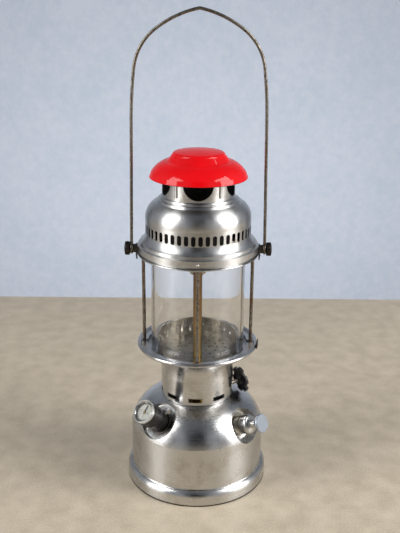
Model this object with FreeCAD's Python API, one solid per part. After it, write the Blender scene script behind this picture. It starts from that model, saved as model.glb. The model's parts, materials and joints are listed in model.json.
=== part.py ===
# Kerosene pressure lantern, in millimetres.
# The frame stands on the lantern's axis at floor level: +Z is up, -Y is the front, +X is the right.
# Azimuths are counted from the front and grow towards +X.
import FreeCAD, Part
import math
import os

V = FreeCAD.Vector
UP = V(0, 0, 1)

# Fits
running_gap = 0.05
clear_gap = 0.4
bore_gap = 0.6

# Tank and foot
foot_step = 5.3
foot_straight_height = 9.5
foot_shoulder_drop = 3.6
foot_height = 18.5
foot_wall = 1.4
floor_ring_inset = 1.7
floor_ring_width = 24.0
floor_rise = 2.5
floor_sheet = 1.2
tank_radius = 79.7
tank_wall = 1.0
tank_floor_height = 12.0
tank_crease_height = 71.5
tank_top_radius = 43.2
tank_top_height = 107.5
shoulder_bulge = 7.3
recess_side_angle = 20.0

# Filler opening with its gauge cap
filler_azimuth = -43.0
filler_elevation = 42.0
filler_face_radius = 61.0
filler_face_height = 88.7
filler_recess_radius = 21.0
filler_bore_radius = 7.6
filler_neck_radius = 9.0
filler_neck_depth = 9.0
filler_neck_rise = 3.0
cap_grip_radius = 11.4
cap_grip_height = 15.0
cap_waist_radius = 9.6
cap_waist_height = 2.0
gauge_radius = 13.9
gauge_grip_height = 10.5
gauge_bezel_height = 7.5
gauge_glass_radius = 11.0
dial_depth = 3.2
dial_thickness = 0.8
gauge_pointer_length = 8.5
cap_rib_count = 24
bleed_screw_angle = 32.0
bleed_screw_reach = 20.2
bleed_screw_radius = 3.6
bleed_shank_radius = 1.6
bleed_screw_height = 5.7
cap_spigot_length = 8.0
washer_thickness = 1.0

# Pump
pump_azimuth = 53.0
pump_elevation = 23.0
pump_face_radius = 61.0
pump_face_height = 81.0
pump_recess_radius = 18.0
pump_barrel_radius = 9.5
pump_barrel_wall = 0.8
pump_barrel_length = 108.0
pump_neck_radius = 10.3
pump_neck_length = 11.0
pump_flange_radius = 12.5
pump_cap_radius = 11.0
pump_cap_length = 10.0
pump_rod_radius = 2.4
pump_knob_radius = 11.0
pump_knob_thickness = 3.6
pump_knob_height = 34.0
pump_leather_length = 7.0
pump_leather_depth = 96.0
pump_valve_length = 14.0
spring_turns = 6
spring_wire = 0.9
spring_radius = 5.2
spring_length = 13.0

# Vaporiser and control
vaporizer_offset = 28.0
vaporizer_tube_radius = 5.0
vaporizer_tube_wall = 1.0
vaporizer_tube_drop = 0.9
bush_radius = 8.6
bush_height = 1.2
valve_body_radius = 8.0
valve_body_rise = 19.5
valve_stub_radius = 5.5
pickup_tube_radius = 3.0
pickup_tube_gap = 4.0
control_azimuth = 120.0
control_elevation = 8.0
spindle_rise = 5.7
spindle_radius = 2.2
wheel_distance = 60.0
wheel_radius = 16.5
wheel_thickness = 3.6
wheel_lobes = 6
crank_throw = 1.35
crank_pin_radius = 0.8
crank_play = 0.5
crank_reach = 1.6
spindle_start = 3.7
spindle_boss_radius = 4.2
rod_block_radius = 3.2
rod_block_half = 4.0
needle_rod_radius = 1.2
needle_radius = 0.35
jet_rise = 7.0

# Collar, gallery and tray
collar_radius = 43.2
collar_wall = 0.9
collar_straight_rise = 30.5
collar_rise = 60.5
collar_top_radius = 50.0
air_slot_count = 9
air_slot_width = 16.5
air_slot_height = 5.2
air_slot_rise = 8.1
gallery_radius = 71.2
gallery_rise = 5.5
gallery_wall = 0.8
globe_seat_radius = 59.8
gallery_drop = 3.4
gallery_inner_radius = 44.0
tray_radius = 46.9
tray_height = 19.4
tray_wall = 0.8
tray_wall_holes = 26
tray_wall_hole_radius = 1.5
tray_row_height = 9.6
tray_hole_radius = 1.4
tray_circles = 3
tray_fill_hole_radius = 3.0

# Globe and cage
globe_radius = 54.5
globe_wall = 4.0
globe_height = 121.5
globe_cover = 4.6
clip_thickness = 0.8
rod_circle_radius = 63.0
rod_radius = 2.0
top_ring_radius = 69.5
top_ring_bead = 0.8
top_ring_bore = 56.6
tab_azimuth = 78.0
tab_width = 8.0
tab_height = 9.0
tab_sheet = 1.2

# Ventilator
skirt_radius = 69.0
skirt_rise = 4.3
skirt_band = 6.6
vent_wall = 0.8
vent_radius = 60.0
vent_shoulder_rise = 40.1
vent_top_rise = 64.5
slot_count = 48
slot_width = 4.9
slot_rise = 24.8
slot_length = 11.3
crown_radius = 40.8
crown_height = 36.6
scallop_count = 5
scallop_radius = 16.6
scallop_rise = 22.1
flute_radius = 2.4
flute_rise = 8.6
hood_radius = 55.1
hood_rim_drop = 12.5
hood_rise = 17.6
hood_wall = 1.2
hood_step_radius = 36.0
hood_step_rise = 5.2
hood_cap_radius = 27.5
chimney_radius = 38.8
chimney_rise = 9.1
mixer_radius = 6.0
mixer_wall = 0.8
mixer_inlet_rise = 10.1
mixer_bend_rise = 33.1
nozzle_radius = 12.0
nozzle_drop = 26.4
nozzle_height = 14.5

# Bail and thumb screws
pivot_rise = 4.1
bail_wire_radius = 1.75
bail_foot_half_width = 76.2
bail_eye_radius = 4.6
bail_knee_inset = 2.4
bail_knee_rise = 147.0
bail_shoulder_inset = 6.1
bail_shoulder_rise = 201.0
bail_crest_inset = 29.2
bail_crest_rise = 241.5
bail_peak_rise = 263.4
lug_thickness = 1.5
boss_radius = 5.0
thumb_shank_radius = 1.95
thumb_head_radius = 7.8
thumb_head_length = 5.4
notch_half_width = 2.5


def polar(radius, azimuth, height=0.0):
    """Point at an azimuth counted from the front."""
    angle = math.radians(azimuth)
    return V(radius * math.sin(angle), -radius * math.cos(angle), height)


def direction(azimuth, elevation):
    """Unit vector that leaves the axis at an azimuth and rises by an elevation."""
    flat = polar(math.cos(math.radians(elevation)), azimuth)
    return V(flat.x, flat.y, math.sin(math.radians(elevation)))


def place(shape, origin, axis):
    """Carry a shape drawn up +Z onto a point and a direction, keeping its +Y side uppermost."""
    axis = V(axis).normalize()
    side = axis.cross(UP) if abs(axis.z) < 0.999 else V(1, 0, 0)
    side.normalize()
    upper = side.cross(axis)
    matrix = FreeCAD.Matrix(side.x, upper.x, axis.x, origin.x,
                            side.y, upper.y, axis.y, origin.y,
                            side.z, upper.z, axis.z, origin.z,
                            0, 0, 0, 1)
    return shape.copy().transformed(matrix)


def outline(points):
    """Edges through (radius, height) points; a third value of 'arc' marks the middle of an arc."""
    edges = []
    start = V(points[0][0], 0, points[0][1])
    middle = None
    for point in points[1:]:
        here = V(point[0], 0, point[1])
        if len(point) == 3:
            middle = here
            continue
        if middle is None:
            edges.append(Part.LineSegment(start, here).toShape())
        else:
            edges.append(Part.Arc(start, middle, here).toShape())
        start = here
        middle = None
    return edges


def turned(points):
    """Solid of revolution about the vertical axis from a closed outline."""
    face = Part.Face(Part.Wire(outline(points + [points[0][:2]])))
    return solid(face.revolve(V(0, 0, 0), UP, 360))


def pressed(points, wall):
    """Sheet of one thickness, turned about the axis: the wall lies left of the outline's run."""
    face = Part.Wire(outline(points)).makeOffset2D(wall, 2, True, True)
    return solid(face.revolve(V(0, 0, 0), UP, 360))


def solid(shape):
    """The one solid of a shape, the right way out."""
    body = shape.Solids[0] if shape.Solids else Part.Solid(shape)
    if body.Volume < 0:
        body.reverse()
    return body


def rod(radius, bottom, top, x=0.0, y=0.0):
    return Part.makeCylinder(radius, top - bottom, V(x, y, bottom))


def ring(outer, inner, bottom, top):
    return rod(outer, bottom, top).cut(rod(inner, bottom, top))


def joined(shapes):
    """Fuse shapes that belong to one piece."""
    return shapes[0].multiFuse(shapes[1:]).removeSplitter()


def turned_copies(shape, count, first=0.0):
    """Copies of a shape spread evenly about the vertical axis."""
    copies = []
    for index in range(count):
        copy = shape.copy()
        copy.rotate(V(0, 0, 0), UP, first + 360.0 * index / count)
        copies.append(copy)
    return copies


def ribbed(radius, bottom, top, count, depth=0.5):
    """Cylinder with a ring of shallow vertical grip grooves."""
    grooves = Part.Compound(turned_copies(rod(depth, bottom - 1, top + 1, radius), count))
    return solid(rod(radius, bottom, top).cut(grooves))


def export(name, shape):
    shape.exportStep("parts/" + name + ".step")


# Radii and heights that follow from the sizes above, stacked from the floor up
foot_radius = tank_radius + foot_step
floor_ring_outer = tank_radius - floor_ring_inset
floor_ring_inner = floor_ring_outer - floor_ring_width
spindle_height = tank_top_height + spindle_rise
valve_body_top = tank_top_height + valve_body_rise
collar_flare_height = tank_top_height + collar_straight_rise
air_slot_centre = tank_top_height + air_slot_rise
globe_seat_height = tank_top_height + collar_rise
gallery_height = globe_seat_height + gallery_rise
top_ring_height = globe_seat_height + globe_height - globe_cover
vaporizer_tube_top = top_ring_height - vaporizer_tube_drop
jet_top = vaporizer_tube_top + jet_rise
skirt_height = top_ring_height + skirt_rise
pivot_height = top_ring_height + pivot_rise
slot_bottom = top_ring_height + slot_rise
slot_top = slot_bottom + slot_length
vent_shoulder_height = top_ring_height + vent_shoulder_rise
vent_top_height = top_ring_height + vent_top_rise
crown_top = vent_top_height + crown_height
scallop_height = vent_top_height + scallop_rise
flute_bottom = vent_top_height + flute_rise
hood_rim_height = crown_top - hood_rim_drop
hood_step_height = crown_top + hood_step_rise
hood_top = crown_top + hood_rise
chimney_bottom = top_ring_height + chimney_rise
mixer_inlet_height = top_ring_height + mixer_inlet_rise
mixer_bend_height = top_ring_height + mixer_bend_rise
nozzle_bottom = top_ring_height - nozzle_drop
nozzle_top = nozzle_bottom + nozzle_height

# Places that several pieces share
filler_axis = direction(filler_azimuth, filler_elevation)
filler_point = polar(filler_face_radius, filler_azimuth, filler_face_height)
pump_axis = direction(pump_azimuth, pump_elevation)
pump_point = polar(pump_face_radius, pump_azimuth, pump_face_height)
control_axis = direction(control_azimuth, control_elevation)
control_point = V(0, -vaporizer_offset, spindle_height)
cap_base = filler_neck_rise + running_gap
gauge_base = cap_base + cap_grip_height + cap_waist_height
gauge_top = gauge_base + gauge_grip_height + gauge_bezel_height
pump_mouth = pump_neck_length
pump_cap_top = pump_mouth + pump_cap_length
vent_seat_height = top_ring_height + 2 * top_ring_bead
lug_face = top_ring_radius + 0.1
boss_face = 74.3


def recess(point, axis, radius, depth_offset):
    """Cutter of a pressed recess: a flat floor with sloping sides, open outwards."""
    length = 60.0
    slope = math.tan(math.radians(recess_side_angle))
    cone = Part.makeCone(radius + depth_offset * slope, radius + (length + depth_offset) * slope, length)
    return place(cone, point - axis * depth_offset, axis)


def tank_form(inset):
    """Outside form of the tank, drawn in by an inset."""
    radius = tank_radius - inset
    top = tank_top_height - inset
    run = V(tank_top_radius - radius, 0, top - tank_crease_height)
    normal = V(-run.z, 0, run.x).normalize() * -1
    middle = V(radius, 0, tank_crease_height) + run * 0.5 + normal * shoulder_bulge
    points = [(0, tank_floor_height), (radius, tank_floor_height), (radius, tank_crease_height),
              (middle.x, middle.z, "arc"), (tank_top_radius, top), (0, top)]
    form = turned(points)
    form = form.cut(recess(filler_point, filler_axis, filler_recess_radius, inset))
    return form.cut(recess(pump_point, pump_axis, pump_recess_radius, inset))


def tank_shell():
    shell = tank_form(0).cut(tank_form(tank_wall))
    bush_hole = rod(valve_stub_radius, 90, 120, 0, -vaporizer_offset)
    filler_hole = place(rod(filler_neck_radius, -12, 12), filler_point, filler_axis)
    pump_hole = place(rod(pump_barrel_radius, -12, 12), pump_point, pump_axis)
    return solid(shell.cut(Part.Compound([bush_hole, filler_hole, pump_hole])))


def tank_base():
    """Foot band and floor of the tank, spun from one sheet."""
    bend = (foot_radius - 1.1, foot_height - foot_shoulder_drop, "arc")
    inner = foot_radius - foot_wall
    rise_start = floor_ring_inner - 6.0
    under = tank_floor_height - floor_sheet
    return turned([(0, under + floor_rise), (rise_start, under + floor_rise), (floor_ring_inner, under),
                   (floor_ring_outer, under), (inner, under - 4.5), (inner, 0), (foot_radius, 0),
                   (foot_radius, foot_straight_height), bend, (tank_radius, foot_height),
                   (tank_radius, tank_floor_height), (floor_ring_inner, tank_floor_height),
                   (rise_start, tank_floor_height + floor_rise), (0, tank_floor_height + floor_rise)])


def filler_neck():
    inside = -filler_neck_depth
    neck = rod(filler_neck_radius, inside, filler_neck_rise)
    flange = rod(filler_neck_radius + 3.2, 0, 1.2)
    body = joined([neck, flange]).cut(rod(filler_bore_radius, inside, filler_neck_rise))
    return solid(place(body, filler_point, filler_axis))


def filler_cap():
    """Black gripped cap with the gauge housing on top and a threaded spigot below."""
    spigot = rod(filler_bore_radius - clear_gap, cap_base - cap_spigot_length, cap_base)
    grip = ribbed(cap_grip_radius, cap_base, cap_base + cap_grip_height, cap_rib_count)
    waist = rod(cap_waist_radius, cap_base + cap_grip_height, gauge_base)
    head = ribbed(gauge_radius - 0.4, gauge_base, gauge_base + gauge_grip_height, cap_rib_count + 6)
    body = joined([spigot, grip, waist, head])
    bleed_hole = place(rod(bleed_shank_radius, 0, 20), V(0, 0, cap_base + bleed_screw_height), bleed_local())
    seat = ring(filler_neck_radius, filler_bore_radius - clear_gap, cap_base, cap_base + washer_thickness)
    return solid(place(body.cut(bleed_hole).cut(seat), filler_point, filler_axis))


def bleed_local():
    angle = math.radians(90 - bleed_screw_angle)
    return V(-math.cos(angle), math.sin(angle), 0)


def gauge_bezel():
    """Bright bezel ring that holds dial and glass."""
    bottom = gauge_base + gauge_grip_height
    lip = gauge_top - 1.4
    body = ring(gauge_radius, gauge_glass_radius, bottom, gauge_top)
    body = body.cut(ring(gauge_radius + 1, gauge_radius - 0.5, bottom + 1.6, bottom + 2.4))
    body = body.cut(Part.makeCone(gauge_glass_radius, gauge_glass_radius + 1.2, 1.4, V(0, 0, lip)))
    return solid(place(body, filler_point, filler_axis))


def gauge_dial():
    bottom = gauge_top - dial_depth - dial_thickness
    disc = rod(gauge_glass_radius, gauge_base + gauge_grip_height, bottom + dial_thickness)
    return solid(place(disc.cut(rod(0.8, bottom - 9, gauge_top)), filler_point, filler_axis))


def gauge_glass():
    bottom = gauge_top - 1.8
    return solid(place(rod(gauge_glass_radius, bottom, bottom + 0.8), filler_point, filler_axis))


def gauge_pointer():
    """Thin hand on its arbor, turning over the dial."""
    level = gauge_top - dial_depth + 0.3
    arbor = rod(0.8 - running_gap, level - 2.4, level + 0.5)
    hub = rod(1.5, level, level + 0.5)
    hand = Part.Face(Part.makePolygon([V(-0.8, -2.5, level), V(0.8, -2.5, level),
                                       V(0.25, gauge_pointer_length, level),
                                       V(-0.25, gauge_pointer_length, level),
                                       V(-0.8, -2.5, level)])).extrude(V(0, 0, 0.5))
    return solid(place(joined([arbor, hub, hand]), filler_point, filler_axis))


def cap_washer():
    """Rubber washer let into the underside of the cap."""
    body = ring(filler_neck_radius, filler_bore_radius - clear_gap, cap_base, cap_base + washer_thickness)
    return solid(place(body, filler_point, filler_axis))


def bleed_screw():
    """Small gripped screw that lets the pressure out."""
    head = ribbed(bleed_screw_radius, bleed_screw_reach - 5, bleed_screw_reach, 12, 0.35)
    shank = rod(bleed_shank_radius - running_gap, 7, bleed_screw_reach - 5)
    body = place(joined([head, shank]), V(0, 0, cap_base + bleed_screw_height), bleed_local())
    return solid(place(body, filler_point, filler_axis))


def pump_barrel():
    """Barrel in the tank with the flange and neck that stand outside."""
    bottom = -pump_barrel_length
    barrel = rod(pump_barrel_radius, bottom, 1.5)
    flange = rod(pump_flange_radius, 0, 1.5)
    neck = rod(pump_neck_radius, 0, pump_neck_length)
    body = joined([barrel, flange, neck])
    bore = rod(pump_barrel_radius - pump_barrel_wall, bottom + 1.2, pump_neck_length)
    port = rod(3.0, bottom, bottom + 1.2)
    return solid(place(body.cut(bore).cut(port), pump_point, pump_axis))


def pump_valve():
    """Foot valve that keeps the pressure in the tank."""
    bottom = -pump_barrel_length
    stem = rod(3.0, bottom, bottom + 4)
    body = rod(6.0, bottom - pump_valve_length, bottom)
    nut = rod(6.0, bottom + 1.2, bottom + 4)
    whole = joined([body, stem, nut]).cut(rod(1.2, bottom - pump_valve_length - 1, bottom + 6))
    return solid(place(whole, pump_point, pump_axis))


def pump_cap():
    """Grooved and polished cap that guides the rod."""
    top = pump_cap_top
    body = turned([(pump_rod_radius + running_gap, pump_mouth), (pump_cap_radius, pump_mouth),
                   (pump_cap_radius, top - 2.2), (pump_cap_radius - 0.7, top - 0.7, "arc"),
                   (pump_cap_radius - 2.2, top), (4.4, top + 1.2), (4.2, top + 6.5), (3.4, top + 7.5),
                   (pump_rod_radius + running_gap, top + 7.5)])
    for index in range(3):
        level = pump_mouth + 1.5 + 1.9 * index
        body = body.cut(ring(pump_cap_radius + 1, pump_cap_radius - 0.6, level, level + 0.8))
    return solid(place(body, pump_point, pump_axis))


def pump_rod():
    return solid(place(rod(pump_rod_radius, -pump_leather_depth, pump_knob_height), pump_point, pump_axis))


def pump_knob():
    top = pump_knob_height + pump_knob_thickness
    body = turned([(0, pump_knob_height), (pump_rod_radius + 2, pump_knob_height),
                   (pump_knob_radius - 0.6, pump_knob_height + 0.3),
                   (pump_knob_radius, pump_knob_height + 1.4, "arc"), (pump_knob_radius, top - 0.8),
                   (pump_knob_radius - 0.8, top), (0, top)])
    return solid(place(body, pump_point, pump_axis))


def pump_leather():
    """Cup leather on the end of the rod."""
    top = -pump_leather_depth
    outer = pump_barrel_radius - pump_barrel_wall - running_gap
    body = turned([(0, top), (outer - 1.5, top), (outer, top - 1.5), (outer, top - pump_leather_length),
                   (outer - 1.2, top - pump_leather_length), (outer - 1.2, top - 1.6), (0, top - 1.6)])
    return solid(place(body, pump_point, pump_axis))


def leather_nut():
    top = -pump_leather_depth - 1.6
    nut = Part.Face(Part.makePolygon([V(5 * math.cos(math.radians(60 * i)),
                                        5 * math.sin(math.radians(60 * i)), top - 3)
                                      for i in range(7)])).extrude(V(0, 0, 3))
    return solid(place(nut, pump_point, pump_axis))


def pump_spring():
    """Buffer spring of square wire round the rod, resting on the leather."""
    helix = Part.makeHelix(spring_length / spring_turns, spring_length, spring_radius)
    half = spring_wire / 2
    profile = Part.makePolygon([V(spring_radius - half, 0, -half), V(spring_radius + half, 0, -half),
                                V(spring_radius + half, 0, half), V(spring_radius - half, 0, half),
                                V(spring_radius - half, 0, -half)])
    coil = Part.Wire(helix).makePipeShell([profile], True, True)
    bottom = -pump_leather_depth + half
    return solid(place(coil, pump_point + pump_axis * bottom, pump_axis))


def vaporizer_bush():
    """Threaded bush soldered into the top of the tank."""
    bottom = tank_top_height - tank_wall - 2
    top = tank_top_height + bush_height
    y = -vaporizer_offset
    body = joined([rod(valve_stub_radius, bottom, top, 0, y), rod(bush_radius, tank_top_height, top, 0, y)])
    return solid(body.cut(rod(3.9, bottom, top, 0, y)))


def valve_body():
    """Brass body over the bush: bore for the needle rod and a side boss for the spindle."""
    y = -vaporizer_offset
    foot = tank_top_height + bush_height
    column = rod(valve_body_radius, foot, valve_body_top, 0, y)
    stub = rod(3.9, tank_top_height - tank_wall - 2, foot, 0, y)
    boss = place(rod(spindle_boss_radius, 0, 17), control_point, control_axis)
    body = joined([column, stub, boss])
    bore = rod(rod_block_radius + 0.3, spindle_height - rod_block_half - clear_gap, valve_body_top, 0, y)
    drill = rod(1.4, tank_top_height - tank_wall - 3, spindle_height, 0, y)
    spindle_bore = place(rod(spindle_radius + running_gap, 0, 18), control_point, control_axis)
    return solid(body.cut(bore).cut(drill).cut(spindle_bore))


def gland_nut():
    """Packing nut round the spindle."""
    nut = hexagon(6.0, 17, 23).cut(rod(spindle_radius + running_gap, 16, 24))
    return solid(place(nut, control_point, control_axis))


def hexagon(across, bottom, top, x=0.0, y=0.0):
    """Hexagonal prism whose corner radius is given."""
    corners = [V(x + across * math.cos(math.radians(60 * i)), y + across * math.sin(math.radians(60 * i)),
                 bottom) for i in range(7)]
    return Part.Face(Part.makePolygon(corners)).extrude(V(0, 0, top - bottom))


def pickup_tube():
    y = -vaporizer_offset
    bottom = tank_floor_height + pickup_tube_gap + 2.5
    top = tank_top_height - tank_wall - 2
    return solid(rod(pickup_tube_radius, bottom, top, 0, y).cut(rod(2.2, bottom, top, 0, y)))


def vaporizer_nut():
    y = -vaporizer_offset
    body = hexagon(9.0, valve_body_top, valve_body_top + 8, 0, y)
    return solid(body.cut(rod(vaporizer_tube_radius, valve_body_top, valve_body_top + 8, 0, y)))


def vaporizer_tube():
    y = -vaporizer_offset
    bore = vaporizer_tube_radius - vaporizer_tube_wall
    tube = rod(vaporizer_tube_radius, valve_body_top, vaporizer_tube_top, 0, y)
    return solid(tube.cut(rod(bore, valve_body_top, vaporizer_tube_top, 0, y)))


def jet():
    """Jet that the needle cleans, screwed on top of the vaporiser tube."""
    y = -vaporizer_offset
    base = hexagon(5.4, vaporizer_tube_top, vaporizer_tube_top + 3.5, 0, y)
    cone = Part.makeCone(4.0, 1.5, jet_top - vaporizer_tube_top - 3.5, V(0, y, vaporizer_tube_top + 3.5))
    hollow = rod(2.0, vaporizer_tube_top, jet_top - 2.5, 0, y)
    hole = rod(needle_radius + 0.1, vaporizer_tube_top, jet_top, 0, y)
    return solid(joined([base, cone]).cut(hollow).cut(hole))


def needle_rod():
    """Block driven by the crank, the long rod and the wire needle at its tip."""
    y = -vaporizer_offset
    block = rod(rod_block_radius, spindle_height - rod_block_half, spindle_height + rod_block_half, 0, y)
    slot_half = crank_pin_radius + crank_play
    slot = Part.makeBox(10, 2 * slot_half, 20, V(-5, -crank_throw - slot_half, -crank_reach - crank_play))
    block = block.cut(place(slot, control_point, control_axis))
    stem = rod(needle_rod_radius, spindle_height + rod_block_half, vaporizer_tube_top - 1, 0, y)
    wire = rod(needle_radius, vaporizer_tube_top - 1, jet_top - 2, 0, y)
    return solid(joined([block, stem, wire]))


def control_spindle():
    """Spindle with its crank pin inside the valve body."""
    shaft = rod(spindle_radius, spindle_start, wheel_distance + wheel_thickness)
    pin = rod(crank_pin_radius, -crank_reach, spindle_start)
    pin.translate(V(0, -crank_throw, 0))
    return solid(place(joined([shaft, pin]), control_point, control_axis))


def control_wheel():
    """Lobed hand wheel with a hub and a ring of finger hollows."""
    lobe = 2 * math.pi * wheel_radius / wheel_lobes * 0.36
    disc = rod(wheel_radius, 0, wheel_thickness)
    gaps = turned_copies(rod(lobe * 0.62, -1, wheel_thickness + 1, wheel_radius + lobe * 0.22), wheel_lobes)
    hub = rod(5.0, -2.0, wheel_thickness)
    body = joined([disc.cut(Part.Compound(gaps)), hub])
    body = body.cut(rod(spindle_radius, -3, wheel_thickness))
    windows = turned_copies(rod(2.2, -1, wheel_thickness + 1, 9.4), wheel_lobes, 180.0 / wheel_lobes)
    body = body.cut(Part.Compound(windows))
    return solid(place(body, control_point + control_axis * wheel_distance, control_axis))


def wheel_nut():
    nut = hexagon(4.0, wheel_distance + wheel_thickness, wheel_distance + wheel_thickness + 2.4)
    return solid(place(nut, control_point, control_axis))


def collar():
    """Flared collar with air slots and a notch for the spindle."""
    low = tank_top_height
    foot = vaporizer_offset + bush_radius + clear_gap
    body = pressed([(foot, low), (collar_radius - 2.4, low),
                    (collar_radius - 0.5, low + 0.9, "arc"), (collar_radius, low + 2.8),
                    (collar_radius, collar_flare_height),
                    (collar_radius + 1.5, collar_flare_height + 14, "arc"),
                    (collar_top_radius, globe_seat_height - gallery_drop - 1.5),
                    (collar_top_radius, globe_seat_height - gallery_wall)], collar_wall)
    half = air_slot_height / 2
    slot = Part.makeBox(air_slot_width, 20, air_slot_height,
                        V(-air_slot_width / 2, -collar_radius - 10, air_slot_centre - half))
    slots = turned_copies(slot, air_slot_count, -2.3)
    notch = joined([rod(7.0, 20, 70), Part.makeBox(14, 30, 50, V(-7, -30, 20))])
    slots.append(place(notch, control_point, control_axis))
    keep_out = rod(collar_top_radius + 5, low - 5, low - 0.001)
    return solid(body.cut(Part.Compound(slots)).cut(keep_out))


def gallery_ring():
    """Dished ring that seats the globe, with a rolled rim and an inner ledge for the tray."""
    seat = globe_seat_height
    riser = tray_radius + 1.4
    body = pressed([(gallery_inner_radius, seat - gallery_drop), (riser, seat - gallery_drop),
                    (riser, seat - gallery_wall), (globe_seat_radius, seat - gallery_wall),
                    (globe_seat_radius, gallery_height - gallery_wall),
                    (gallery_radius - 2.2, gallery_height - gallery_wall)], gallery_wall)
    rim = Part.makeTorus(gallery_radius - 2.4, 2.4, V(0, 0, gallery_height + 0.1))
    holes = Part.Compound(turned_copies(rod(rod_radius, gallery_height - 6, gallery_height + 6,
                                            rod_circle_radius), 4))
    return solid(joined([body, rim]).cut(holes))


def tray_level():
    return globe_seat_height - gallery_drop + gallery_wall


def gallery_tray():
    """Perforated tray below the burner with one row of holes round its wall."""
    low = tray_level()
    high = low + tray_height
    wall = pressed([(0, low), (tray_radius - 1.2, low), (tray_radius, low + 1.2), (tray_radius, high)],
                   tray_wall)
    bead = Part.makeTorus(tray_radius - tray_wall / 2, 0.9, V(0, 0, high))
    body = joined([wall, bead])
    side = place(hexagon(tray_wall_hole_radius, -10, 10), V(tray_radius, 0, low + tray_row_height), V(1, 0, 0))
    cutters = turned_copies(side, tray_wall_holes, 90 + 180.0 / tray_wall_holes)
    for circle in range(tray_circles):
        radius = 14 + 9.5 * circle
        count = 8 + 6 * circle
        for index in range(count):
            spot = polar(radius, 360.0 * (index + 0.5 * (circle % 2)) / count)
            near_tube = math.hypot(spot.x, spot.y + vaporizer_offset) < vaporizer_tube_radius + 5
            near_fill = math.hypot(spot.x + 24, spot.y + 26) < tray_fill_hole_radius + 3.5
            if not near_tube and not near_fill:
                cutters.append(hexagon(tray_hole_radius, low - 1, low + 3, spot.x, spot.y))
    cutters.append(rod(tray_fill_hole_radius, low - 1, low + 3, -24, -26))
    cutters.append(rod(vaporizer_tube_radius + bore_gap, low - 1, low + 3, 0, -vaporizer_offset))
    return solid(body.cut(Part.Compound(cutters)))


def spirit_cup():
    """Ring trough for the preheating spirit, clamped round the vaporiser tube below the tray."""
    top = tray_level() - 3
    inner = vaporizer_tube_radius
    body = turned([(inner, top - 9), (13.5, top - 9), (15, top), (14.2, top), (12.8, top - 8.2),
                   (inner + 2.2, top - 8.2), (inner + 2.2, top - 1), (inner, top - 1)])
    body.translate(V(0, -vaporizer_offset, 0))
    return solid(body)


def globe():
    """Thick clear glass globe with fire-rounded ends."""
    low = globe_seat_height
    high = low + globe_height
    inner = globe_radius - globe_wall
    mid = globe_radius - globe_wall / 2
    return turned([(inner, low + 2), (mid, low, "arc"), (globe_radius, low + 2), (globe_radius, high - 2),
                   (mid, high, "arc"), (inner, high - 2)])


def cage_rod(azimuth):
    """Rod riveted under the gallery and through the top ring."""
    spot = polar(rod_circle_radius, azimuth)
    head = rod(3.2, gallery_height - gallery_wall - 1.6, gallery_height - gallery_wall, spot.x, spot.y)
    body = rod(rod_radius, gallery_height - gallery_wall - 1.6, vent_seat_height - 0.3, spot.x, spot.y)
    collar_nut = rod(3.2, top_ring_height - 3.0, top_ring_height + 0.3, spot.x, spot.y)
    return solid(joined([body, head, collar_nut]))


def cage_top_ring():
    """Flat ring with a rolled rim, drilled for the four rods."""
    low = top_ring_height + 0.3
    plate = ring(top_ring_radius - top_ring_bead, top_ring_bore, low, low + 1.0)
    rim = Part.makeTorus(top_ring_radius - top_ring_bead, top_ring_bead, V(0, 0, top_ring_height + top_ring_bead))
    holes = Part.Compound(turned_copies(rod(rod_radius, low - 5, low + 5, rod_circle_radius), 4))
    return solid(joined([plate, rim]).cut(holes))


def globe_clips():
    """Four bent spring clips at the rod feet that centre the globe."""
    low = globe_seat_height
    edges = outline([(rod_circle_radius - rod_radius - 0.4, gallery_height),
                     (globe_seat_radius - 1.4, gallery_height),
                     (globe_radius + 1.0, gallery_height + 6.5)])
    profile = Part.Wire(edges).makeOffset2D(-clip_thickness, 2, True, True)
    clip = solid(profile.extrude(V(0, 5, 0)))
    clip.translate(V(0, -2.5, 0))
    return Part.Compound(turned_copies(clip, 4))


def lock_tab():
    """Small bent catch on the gallery's outer rim."""
    low = gallery_height - 1.5
    tab = Part.makeBox(tab_width, tab_sheet, tab_height, V(-tab_width / 2, -gallery_radius - tab_sheet, low))
    tab.rotate(V(0, 0, 0), UP, tab_azimuth)
    return solid(tab)


def bail_lug(side):
    """Upright lug on the top ring with the threaded boss that the bail turns against."""
    low = top_ring_height - 9
    plate = Part.Face(Part.makePolygon([V(0, 0, low), V(0, 4.2, top_ring_height - 2),
                                        V(0, 5.5, pivot_height + 2), V(0, 3, pivot_height + 5.5),
                                        V(0, -3, pivot_height + 5.5), V(0, -5.5, pivot_height + 2),
                                        V(0, -4.2, top_ring_height - 2), V(0, 0, low)]))
    plate = plate.extrude(V(lug_thickness, 0, 0))
    plate.translate(V(lug_face, 0, 0))
    boss = Part.makeCylinder(boss_radius, boss_face - lug_face, V(lug_face, 0, pivot_height), V(1, 0, 0))
    bore = Part.makeCylinder(thumb_shank_radius + running_gap, 20, V(lug_face - 5, 0, pivot_height), V(1, 0, 0))
    tie = Part.makeBox(3.0, 6, 0.9, V(lug_face - 2.2, -3, top_ring_height + 0.35))
    body = joined([plate, boss, tie])
    bead = Part.makeTorus(top_ring_radius - top_ring_bead, top_ring_bead, V(0, 0, top_ring_height + top_ring_bead))
    plate_ring = rod(top_ring_radius - top_ring_bead, top_ring_height + 0.3, top_ring_height + 1.3)
    body = solid(body.cut(bore).cut(bead).cut(plate_ring))
    if side < 0:
        body.rotate(V(0, 0, 0), UP, 180)
    return body


def thumb_screw(side):
    """Black gripped screw: its shank passes bail eye, boss and skirt notch."""
    head_face = bail_foot_half_width + bail_wire_radius + 0.3
    head = ribbed(thumb_head_radius, head_face, head_face + thumb_head_length, 20, 0.6)
    waist = rod(4.6, head_face + thumb_head_length, head_face + thumb_head_length + 0.8)
    shank = rod(thumb_shank_radius, skirt_radius - 3.4, head_face)
    body = joined([head, shank, waist])
    body = place(body, V(0, 0, pivot_height), V(1, 0, 0))
    if side < 0:
        body.rotate(V(0, 0, 0), UP, 180)
    return solid(body)


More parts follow.
